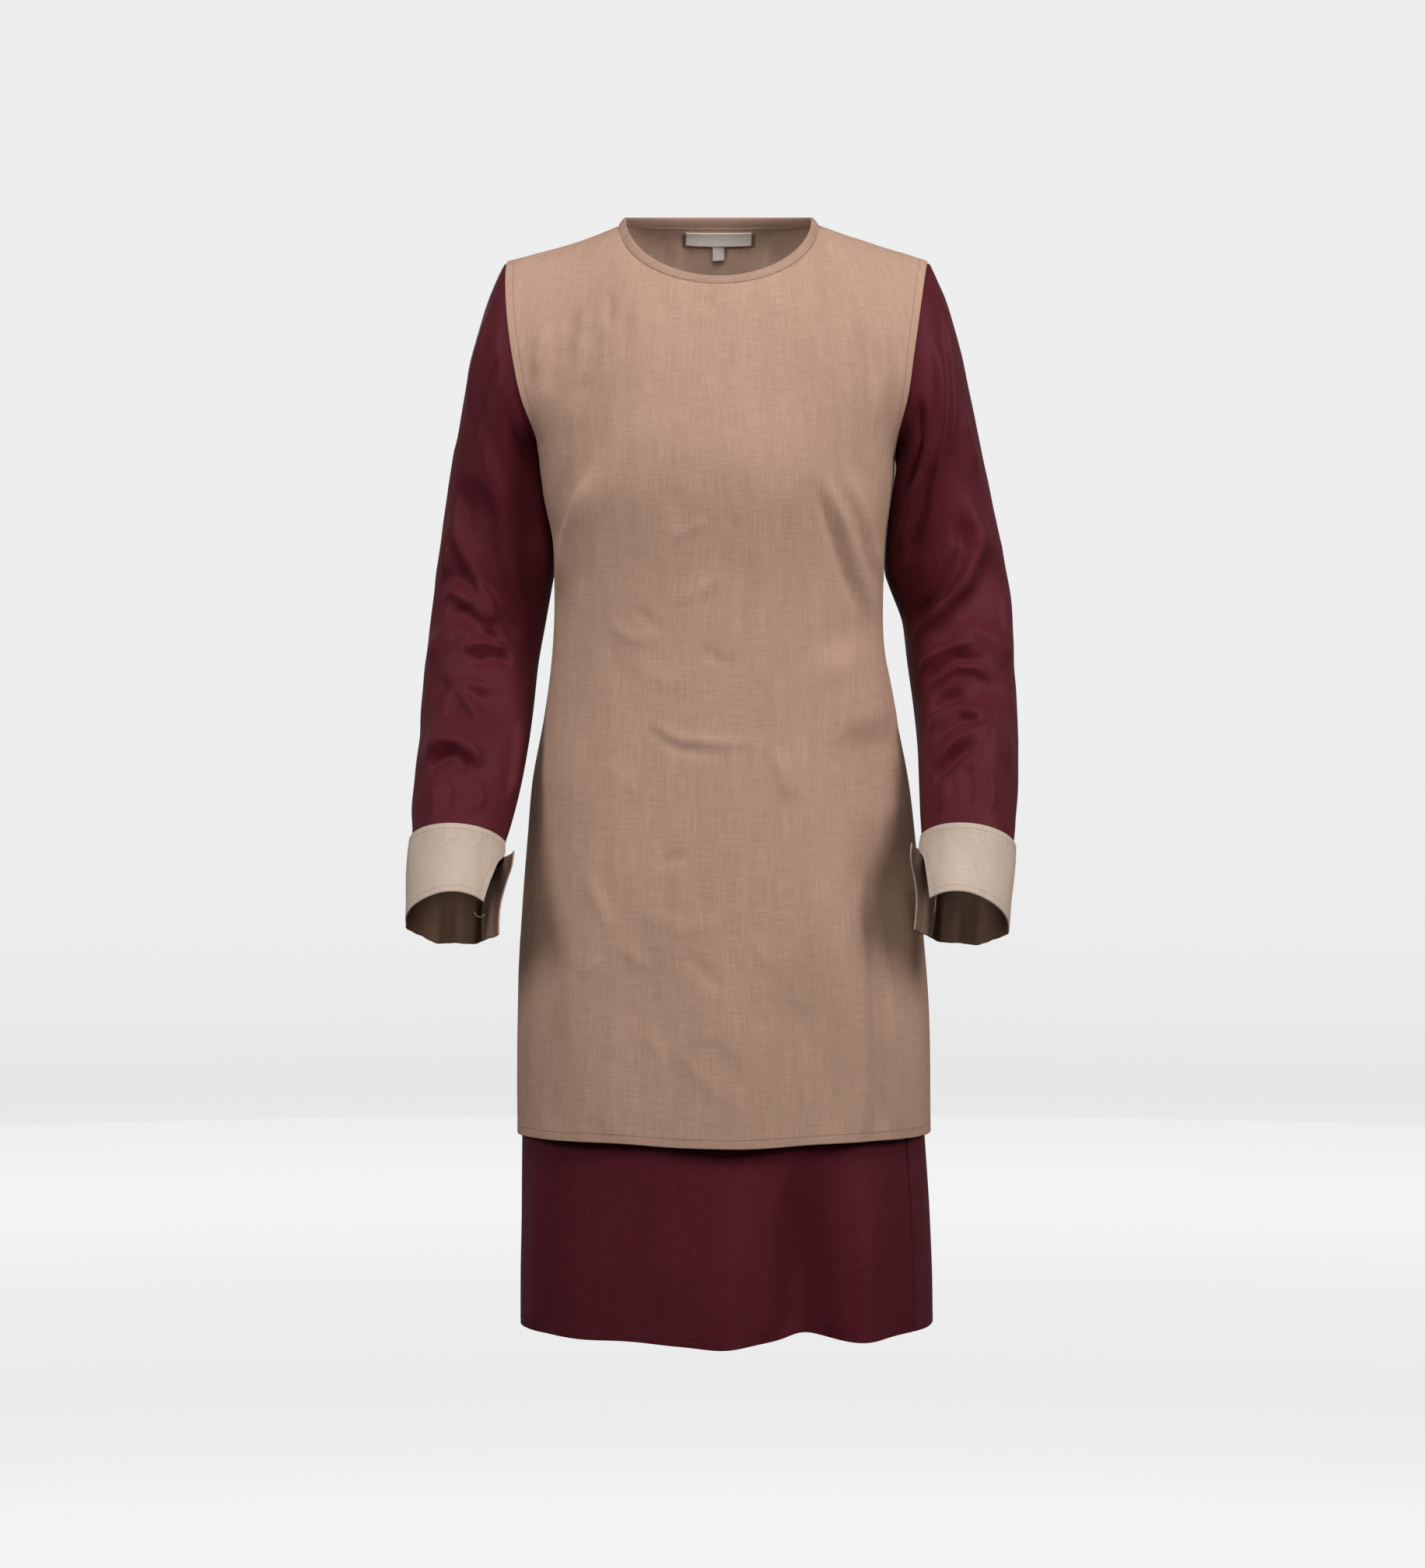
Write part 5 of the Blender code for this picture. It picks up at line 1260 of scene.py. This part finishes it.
def build_label(name, layer, half_width, down, tall, curl):
    """A small blank woven piece on the inside of the back, its lower edge a little loose."""
    across = half_width * LABEL_ROUND
    ways = down + tall * np.array(LABEL_DOWN_STEPS)[::-1]
    outer, inner = [], []
    for way in ways:
        pairs = [back_point(layer, x, way) for x in across]
        loose = curl * ((way - down) / tall) ** 2
        rim = min(way - down, down + tall - way)
        drawn = LABEL_RIM_DRAWN * LABEL_THICK * (1 - min(rim / LABEL_RIM, 1.0))
        near = LINEN + LABEL_EASE + loose
        outer.append([point - normal * (near + drawn) for point, normal in pairs])
        inner.append([point - normal * (near + LABEL_THICK - drawn) for point, normal in pairs])
    maps = {"cloth": pair(across[None, :], -ways[:, None]),
            "edge": pair(half_width - np.abs(across)[None, :], -ways[:, None])}
    return shell(name, np.array(outer), np.array(inner), maps, -1.0)


def build_loop(name, start, end):
    """A thin thread loop between two points, hanging a little."""
    start, end = np.array(start), np.array(end)
    parts = np.linspace(0.0, 1.0, LOOP_STEPS)[:, None]
    hang = np.array([0.0, 0.0, -LOOP_SAG]) * 4 * parts * (1 - parts)
    path = start + (end - start) * parts + hang
    ahead = unit(np.gradient(path, axis=0))
    side = unit(np.cross(ahead, LOOP_ASIDE))
    up = np.cross(side, ahead)
    turns = np.linspace(0.0, 2 * math.pi, LOOP_SIDES + 1)[:-1]
    rings = [path + LOOP_THICK / 2 * (math.cos(turn) * side + math.sin(turn) * up)
             for turn in turns]
    grid = np.stack(rings, axis=1)
    core = path[:, None] + (grid - path[:, None]) * LOOP_CORE
    maps = {"cloth": pair(widen(np.tile(turns, (LOOP_STEPS, 1))), travel(path)[:, None])}
    return shell(name, grid, core, maps, ring=True)


def linear(code):
    """A colour's linear values, from its usual six-figure code."""
    parts = [int(code[k:k + 2], 16) / 255 for k in (1, 3, 5)]
    return tuple(part / 12.92 if part <= 0.04045 else ((part + 0.055) / 1.055) ** 2.4
                 for part in parts) + (1.0,)


def add(tree, kind, inputs=None, **settings):
    """A shader node with its settings, and its inputs linked or set by name or place."""
    node = tree.nodes.new(kind)
    for key, value in settings.items():
        setattr(node, key, value)
    for key, value in (inputs or {}).items():
        if isinstance(value, bpy.types.NodeSocket):
            tree.links.new(value, node.inputs[key])
        else:
            node.inputs[key].default_value = value
    return node


def sums(tree, operation, first, second=0.0, clamp=False):
    """One step of arithmetic on values in a material."""
    return add(tree, "ShaderNodeMath", {0: first, 1: second}, operation=operation,
               use_clamp=clamp).outputs[0]


def near_line(tree, value, centre, width):
    """1 where a value is at `centre`, fading to 0 at `width` away."""
    away = sums(tree, "ABSOLUTE", sums(tree, "SUBTRACT", value, centre))
    return sums(tree, "SUBTRACT", 1.0, sums(tree, "DIVIDE", away, width), clamp=True)


def threads(tree, cloth, across, along, detail=2.0):
    """Uneven threads: noise that is `across` metres wide and `along` metres long."""
    size = add(tree, "ShaderNodeVectorMath", {0: cloth, 1: (1 / across, 1 / along, 1.0)},
               operation="MULTIPLY").outputs[0]
    return add(tree, "ShaderNodeTexNoise", {"Vector": size, "Scale": 1.0, "Detail": detail,
                                            "Roughness": 0.55}).outputs["Fac"]


def weighed(tree, *parts):
    """The sum of several values, each times its share."""
    total = 0.0
    for value, share in parts:
        total = add(tree, "ShaderNodeMath", {0: value, 1: share, 2: total},
                    operation="MULTIPLY_ADD").outputs[0]
    return total


def material(name):
    """A new material with its node tree and its shader."""
    finish = bpy.data.materials.new(name)
    finish.use_nodes = True
    return finish, finish.node_tree, finish.node_tree.nodes["Principled BSDF"]


def set_shader(shader, **values):
    """Fixed values on the shader's own inputs."""
    for key, value in values.items():
        shader.inputs[key.replace("_", " ")].default_value = value


def two_tone(tree, value, dark, light, low=0.0, high=1.0):
    """A colour that runs from dark to light as a value goes from low to high."""
    ramp = add(tree, "ShaderNodeValToRGB", {"Fac": value})
    for element, position, colour in zip(ramp.color_ramp.elements, (low, high), (dark, light)):
        element.position = position
        element.color = colour
    return ramp.outputs[0]


def woven(name, dark, light, slub, height, turn, sewn_in, rough, sheen, bias=0.0, shine=0.3,
          glow=None):
    """Cloth woven of spun yarns: thick and thin threads both ways, and puckers at its stitching.

    `slub` is a yarn's width, `height` the relief and `turn` how much painted shade darkens the
    stitching grooves and seam ditches. The yarns are drawn about twice their real width, as finer
    ones would not show."""
    finish, tree, shader = material(name)
    cloth = add(tree, "ShaderNodeUVMap", uv_map="cloth").outputs[0]
    if bias:
        cloth = add(tree, "ShaderNodeVectorRotate", {"Vector": cloth, "Angle": bias},
                    rotation_type="Z_AXIS").outputs[0]
    patterns = (threads(tree, cloth, slub, slub * WARP_RUN),
                threads(tree, cloth, slub * WEFT_RUN, slub),
                threads(tree, cloth, slub * GRAIN_RUN, slub * GRAIN_RUN, 1.0),
                threads(tree, cloth, *STREAK, 1.0),
                threads(tree, cloth, *CLOUD, 1.0))
    tone = weighed(tree, *zip(patterns, TONE_SHARES))
    colour = two_tone(tree, tone, linear(dark), linear(light), TONE_DARK, TONE_LIGHT)
    edge = add(tree, "ShaderNodeSeparateXYZ",
               {0: add(tree, "ShaderNodeUVMap", uv_map="edge").outputs[0]})
    groove = near_line(tree, edge.outputs[0], sewn_in, GROOVE_WIDTH)
    pucker = sums(tree, "MULTIPLY", threads(tree, cloth, *PUCKER, 1.0),
                  near_line(tree, edge.outputs[0], sewn_in, sewn_in))
    seam = near_line(tree, edge.outputs[1], 0.0, DITCH_WIDTH)
    lift = weighed(tree, (tone, 1.0), (pucker, PUCKER_SHARE), (groove, -GROOVE_SHARE),
                   (seam, -DITCH_SHARE))
    bumps = add(tree, "ShaderNodeBump", {"Height": lift, "Strength": 1.0, "Distance": height})
    # Painted shade: the colour is darkened in the stitching groove and the seam ditch, where shade
    # falls
    sewn = sums(tree, "MULTIPLY", sums(tree, "MAXIMUM", groove, seam), turn)
    shade = sums(tree, "SUBTRACT", 1.0, sewn)
    colour = add(tree, "ShaderNodeMix", {"Factor": 1.0, 6: colour, 7: shade},
                 data_type="RGBA", blend_type="MULTIPLY").outputs[2]
    tree.links.new(colour, shader.inputs["Base Color"])
    tree.links.new(bumps.outputs[0], shader.inputs["Normal"])
    set_shader(shader, Roughness=rough, IOR=1.5, Specular_IOR_Level=shine, Sheen_Weight=sheen,
               Sheen_Roughness=0.45, Sheen_Tint=linear(glow or light),
               Specular_Tint=linear(glow or "#FFFFFF"))
    return finish


def thread_finish(name, code):
    """Spun sewing thread: plain and matt, darker in patches the size of its twist as painted shade
    between its turns.
    """
    finish, tree, shader = material(name)
    set_shader(shader, Roughness=0.7, IOR=1.5, Sheen_Weight=0.2)
    place = add(tree, "ShaderNodeTexCoord").outputs["Object"]
    # Painted shade: the thread's colour runs darker in patches the size of its twist, as the shade
    # between its turns
    twist = threads(tree, place, THREAD_TWIST, THREAD_TWIST, 1.0)
    dark = tuple(THREAD_SHADE * part for part in linear(code)[:3]) + (1.0,)
    tree.links.new(two_tone(tree, twist, dark, linear(code)), shader.inputs["Base Color"])
    return finish


def tape_finish():
    """Woven tape, undyed and blank: fine cross ribs and a slight shine from its smooth yarns."""
    finish, tree, shader = material("blank_woven_tape")
    cloth = add(tree, "ShaderNodeUVMap", uv_map="cloth").outputs[0]
    tone = weighed(tree, (threads(tree, cloth, *TAPE_RIBS), TAPE_RIB_SHARE),
                   (threads(tree, cloth, *TAPE_FINE), 1 - TAPE_RIB_SHARE))
    colour = two_tone(tree, tone, linear("#D6CCC0"), linear("#F2ECE2"), 0.3, 0.7)
    bumps = add(tree, "ShaderNodeBump", {"Height": tone, "Strength": 1.0,
                                         "Distance": TAPE_RELIEF})
    tree.links.new(colour, shader.inputs["Base Color"])
    tree.links.new(bumps.outputs[0], shader.inputs["Normal"])
    set_shader(shader, Roughness=0.5, IOR=1.5, Sheen_Weight=0.1)
    return finish


def backdrop_finish(name, along, colours):
    """Studio surface that glows with its own light, in bands of colour along one value that are
    painted light and shade.
    """
    finish, tree, shader = material(name)
    tree.nodes.remove(shader)
    place = add(tree, "ShaderNodeTexCoord").outputs["Object"]
    axes = add(tree, "ShaderNodeSeparateXYZ", {0: place})
    ramp = add(tree, "ShaderNodeValToRGB", {"Fac": along(tree, axes)})
    band = ramp.color_ramp
    band.interpolation = "B_SPLINE"
    while len(band.elements) < len(colours):
        band.elements.new(0.5)
    for element, (position, code) in zip(band.elements, colours):
        element.position = position
        element.color = linear(code)
    light = add(tree, "ShaderNodeEmission", {"Color": ramp.outputs[0]})
    tree.links.new(light.outputs[0], tree.nodes["Material Output"].inputs["Surface"])
    return finish


def floor_value(tree, axes):
    """Distance over the floor from the front, as a part of its whole depth."""
    from_front = sums(tree, "ADD", axes.outputs[1], FLOOR_FRONT)
    side = axes.outputs[0]
    squares = weighed(tree, (side, side), (from_front, from_front))
    deep = sums(tree, "SQRT", squares)
    return sums(tree, "DIVIDE", deep, FLOOR_FRONT + ROOM_RADIUS, clamp=True)


def wall_value(tree, axes):
    """Height up the wall, as a part of what shows."""
    height = sums(tree, "SUBTRACT", axes.outputs[2], FLOOR_Z)
    return sums(tree, "DIVIDE", height, WALL_SHOWN, clamp=True)


def build_room():
    """A round pale floor and the round wall behind it, which light nothing themselves."""
    turns = np.linspace(0.0, 2 * math.pi, ROOM_SIDES + 1)[:-1]
    floor, top = ([(ROOM_RADIUS * math.cos(turn), ROOM_RADIUS * math.sin(turn), z)
                   for turn in turns] for z in (FLOOR_Z, FLOOR_Z + ROOM_TALL))
    sides = [(k, ROOM_SIDES + k, ROOM_SIDES + (k + 1) % ROOM_SIDES, (k + 1) % ROOM_SIDES)
             for k in range(ROOM_SIDES)]
    for name, points, faces, along, colours in (
            ("studio_floor", floor, [tuple(range(ROOM_SIDES))], floor_value, FLOOR_PAINTED_LIGHT_BANDS),
            ("studio_wall", floor + top, sides, wall_value, WALL_PAINTED_LIGHT_BANDS)):
        surface = put_in_scene(name, points, faces)
        surface.data.materials.append(backdrop_finish(name + "_paint", along, colours))
        surface.visible_diffuse = False
        surface.visible_glossy = False
        surface.visible_shadow = False


def build_light(name, place, target, size, power, colour):
    """One soft box, turned to its target."""
    light = bpy.data.lights.new(name, "AREA")
    light.shape = "DISK"
    light.size = size
    light.energy = power
    light.color = linear(colour)[:3]
    lamp = bpy.data.objects.new(name, light)
    lamp.location = place
    way = Vector(target) - Vector(place)
    lamp.rotation_euler = way.to_track_quat("-Z", "Y").to_euler()
    bpy.context.scene.collection.objects.link(lamp)


def build_camera():
    """The camera level with the middle of the garment, straight in front of it."""
    lens = bpy.data.cameras.new("camera")
    lens.sensor_fit = "VERTICAL"
    lens.sensor_height = SENSOR
    lens.sensor_width = SENSOR
    lens.lens = SENSOR * CAMERA_FAR / SEEN_HEIGHT
    lens.clip_end = 60.0
    camera = bpy.data.objects.new("camera", lens)
    camera.location = (CAMERA_X, -CAMERA_FAR, CAMERA_Z)
    camera.rotation_euler = (math.pi / 2, 0.0, 0.0)
    bpy.context.scene.collection.objects.link(camera)
    bpy.context.scene.camera = camera


def build_light_setting():
    """World light, the soft boxes and plain colour handling."""
    scene = bpy.context.scene
    world = bpy.data.worlds.new("studio_air")
    world.use_nodes = True
    tree = world.node_tree
    way = add(tree, "ShaderNodeSeparateXYZ",
              {0: add(tree, "ShaderNodeTexCoord").outputs["Generated"]}).outputs[2]
    # A direction's height runs from -1 to 1, and the colours' value from 0 to 1
    (low, below), (high, above) = AIR_COLOURS
    colour = two_tone(tree, weighed(tree, (way, 0.5), (1.0, 0.5)), linear(below), linear(above),
                      low, high)
    air = tree.nodes["Background"]
    tree.links.new(colour, air.inputs["Color"])
    air.inputs["Strength"].default_value = AIR_LIGHT
    scene.world = world
    scene.view_settings.view_transform = "Standard"
    for lamp in LAMPS:
        build_light(*lamp)


def dress(piece, finish, slot, *nodes):
    """Put a piece on the garment: its finish, and the nodes it stands for. `slot` is not used."""
    piece.data.materials.append(finish)
    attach(piece, "root")
    if nodes:
        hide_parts(*nodes)
    return piece


def paint_inner_light_and_shade(piece, finish):
    """Give the inner faces of a piece of cloth their own finish: a copy of its cloth painted darker
    as shade inside the cuffs, and paler as light inside the back.
    """
    piece.data.materials.append(finish)
    half = len(piece.data.vertices) // 2
    for face in piece.data.polygons:
        face.material_index = int(min(face.vertices) >= half)


def paint_cuff_rear_half_shade(cuff, finish):
    """Paint the inner face at a cuff's rear end in the sand linen, as half-shade where light
    reaches in.
    """
    cuff.data.materials.append(finish)
    columns = len(CUFF_ROUND)
    for face in cuff.data.polygons:
        inward = columns - min(vertex % columns for vertex in face.vertices)
        if face.material_index and inward <= CUFF_HALF_SHADE_COLUMNS:
            face.material_index = 2


def dress_sleeve_side(layer, side, name, arm, creases, wine, pale, inner, linen, thread):
    """A sleeve, and its cuff with its inner face painted dark brown as shade, a strip at the rear
    end painted sand colour as half-shade where light reaches in, and stitching.
    """
    sleeve = build_sleeve("sleeve_" + name + "_cloth", layer, side, arm, creases, 81 + side)
    dress(sleeve, wine, "burgundy_satin", "sleeve_" + name)
    cuff, lines = build_cuff("cuff_" + name + "_cloth", side, arm, 91 + side)
    dress(cuff, pale, "pale_linen", "cuff_" + name)
    # Painted shade: the cuff's inner faces take the dark brown copy of the pale linen, for the
    # shadow inside the cuff
    paint_inner_light_and_shade(cuff, inner)
    # Painted half-shade: a strip of the inside at the rear end takes the sand linen, lighter than
    # the painted shade
    paint_cuff_rear_half_shade(cuff, linen)
    sewing = dress(build_stitches("cuff_" + name + "_stitching", lines), thread, "pale_linen")


def dress_over_layer(layer, linen, back_inside_painted_light, bias, thread):
    """The over-layer's front and back with their stitching, and the bound neck."""
    front, front_n, back, back_n = layer
    panels = {}
    for name, grid, normals, sign in (("front", front, front_n, 1.0),
                                      ("back", back, back_n, -1.0)):
        panel = build_panel("over_" + name + "_cloth", grid, normals, sign)
        dress(panel, linen, "sand_linen", "over_" + name)
        sewing = build_stitches("over_" + name + "_stitching", panel_stitch_lines(grid, normals))
        panels[name] = (panel, dress(sewing, thread, "sand_linen"))
    # Painted light: the back's inner faces take the paler copy of the sand linen, for light falling
    # in at the neck
    paint_inner_light_and_shade(panels["back"][0], back_inside_painted_light)
    binding, binding_line = build_neck_binding(layer)
    dress(binding, bias, "sand_binding", "neck_binding")
    sewing = dress(build_stitches("neck_binding_stitching", [binding_line]), thread,
                   "sand_binding")


def main():
    """Dress the whole garment."""
    # Plain-weave linen, spun wet and washed soft: flat sand colour broken by thick and thin
    # yarns both ways, no gloss, and a faint pale bloom where the light grazes its fibres
    linen = woven("sand_linen_plain_weave", "#A48370", "#C4A28F", YARN, LINEN_RELIEF, 0.14,
                  SEWN_IN, 0.88, 0.12)
    # Inside the back: the same yarns, painted paler as light falling in at the neck, and a little
    # flatter
    back_inside_painted_light = woven("sand_linen_back_inside_painted_light", "#BB9A86", "#DAB9A6", YARN, LINEN_RELIEF, 0.14,
                       SEWN_IN, 0.90, 0.12)
    # The same linen cut on the bias and pressed into a band: yarns at 45 degrees, a little darker
    bias = woven("sand_linen_bias_band", "#9A7B69", "#B89987", 0.0011, LINEN_RELIEF, 0.14, 0.5,
                 0.88, 0.12, math.radians(45))
    # Satin weave of matt spun yarn, dyed in the piece: deep even wine colour with broad soft
    # highlights on its folds, tinted rose because the dyed floats reflect them
    wine = woven("burgundy_piece_dyed_satin", "#46161E", "#5D202A", 0.0010, 0.00022, 0.25,
                 SKIRT_SEWN_IN, 0.55, 0.06, shine=0.34, glow="#C98A90")
    # Undyed half-bleached linen: pale, a little warm and grey, matt with a visible weave
    pale = woven("pale_undyed_linen", "#B3A091", "#CFBEB0", YARN, LINEN_RELIEF, 0.14,
                 CUFF_SEWN_IN[0], 0.86, 0.12)
    # The cuff's inner face: the pale linen painted dull brown as the shade inside the cuff, with no
    # bloom
    inner = woven("pale_linen_inner_painted_shade", "#644E3F", "#7A6150", YARN, LINEN_RELIEF, 0.14,
                  CUFF_SEWN_IN[0], 0.92, 0.0, shine=0.1)
    # Spun sewing thread, each near its cloth's colour: fine matt dashes at the edges
    sand_thread = thread_finish("sand_sewing_thread", "#B08D78")
    wine_thread = thread_finish("burgundy_sewing_thread", "#5A1D26")
    pale_thread = thread_finish("pale_sewing_thread", "#CDBBA6")
    tape = tape_finish()

    layer = over_layer()
    dress_over_layer(layer, linen, back_inside_painted_light, bias, sand_thread)
    for (skirt, line), node in zip(build_skirt(layer), ("underskirt_front", "underskirt_back")):
        dress(skirt, wine, "burgundy_satin", node)
        sewing = dress(build_stitches(node + "_stitching", [line]), wine_thread, "burgundy_satin")
    for name, side, arm, creases in (("left", -1, LEFT_ARM, LEFT_SLEEVE_CREASES),
                                     ("right", 1, RIGHT_ARM, RIGHT_SLEEVE_CREASES)):
        dress_sleeve_side(layer, side, name, arm, creases, wine, pale, inner, linen, pale_thread)
    tab_down = LABEL_DOWN + LABEL_TALL + TAB_GAP
    for name, half_width, down, tall, curl in (
            ("neck_label", LABEL_HALF_WIDTH, LABEL_DOWN, LABEL_TALL, LABEL_CURL),
            ("size_tab", TAB_HALF_WIDTH, tab_down, TAB_TALL, TAB_CURL)):
        label = build_label(name + "_tape", layer, half_width, down, tall, curl)
        dress(label, tape, "blank_label", name)
    for name, start, end in LOOPS:
        dress(build_loop(name, start, end), pale_thread, "pale_linen")


build_room()
build_light_setting()
build_camera()
main()
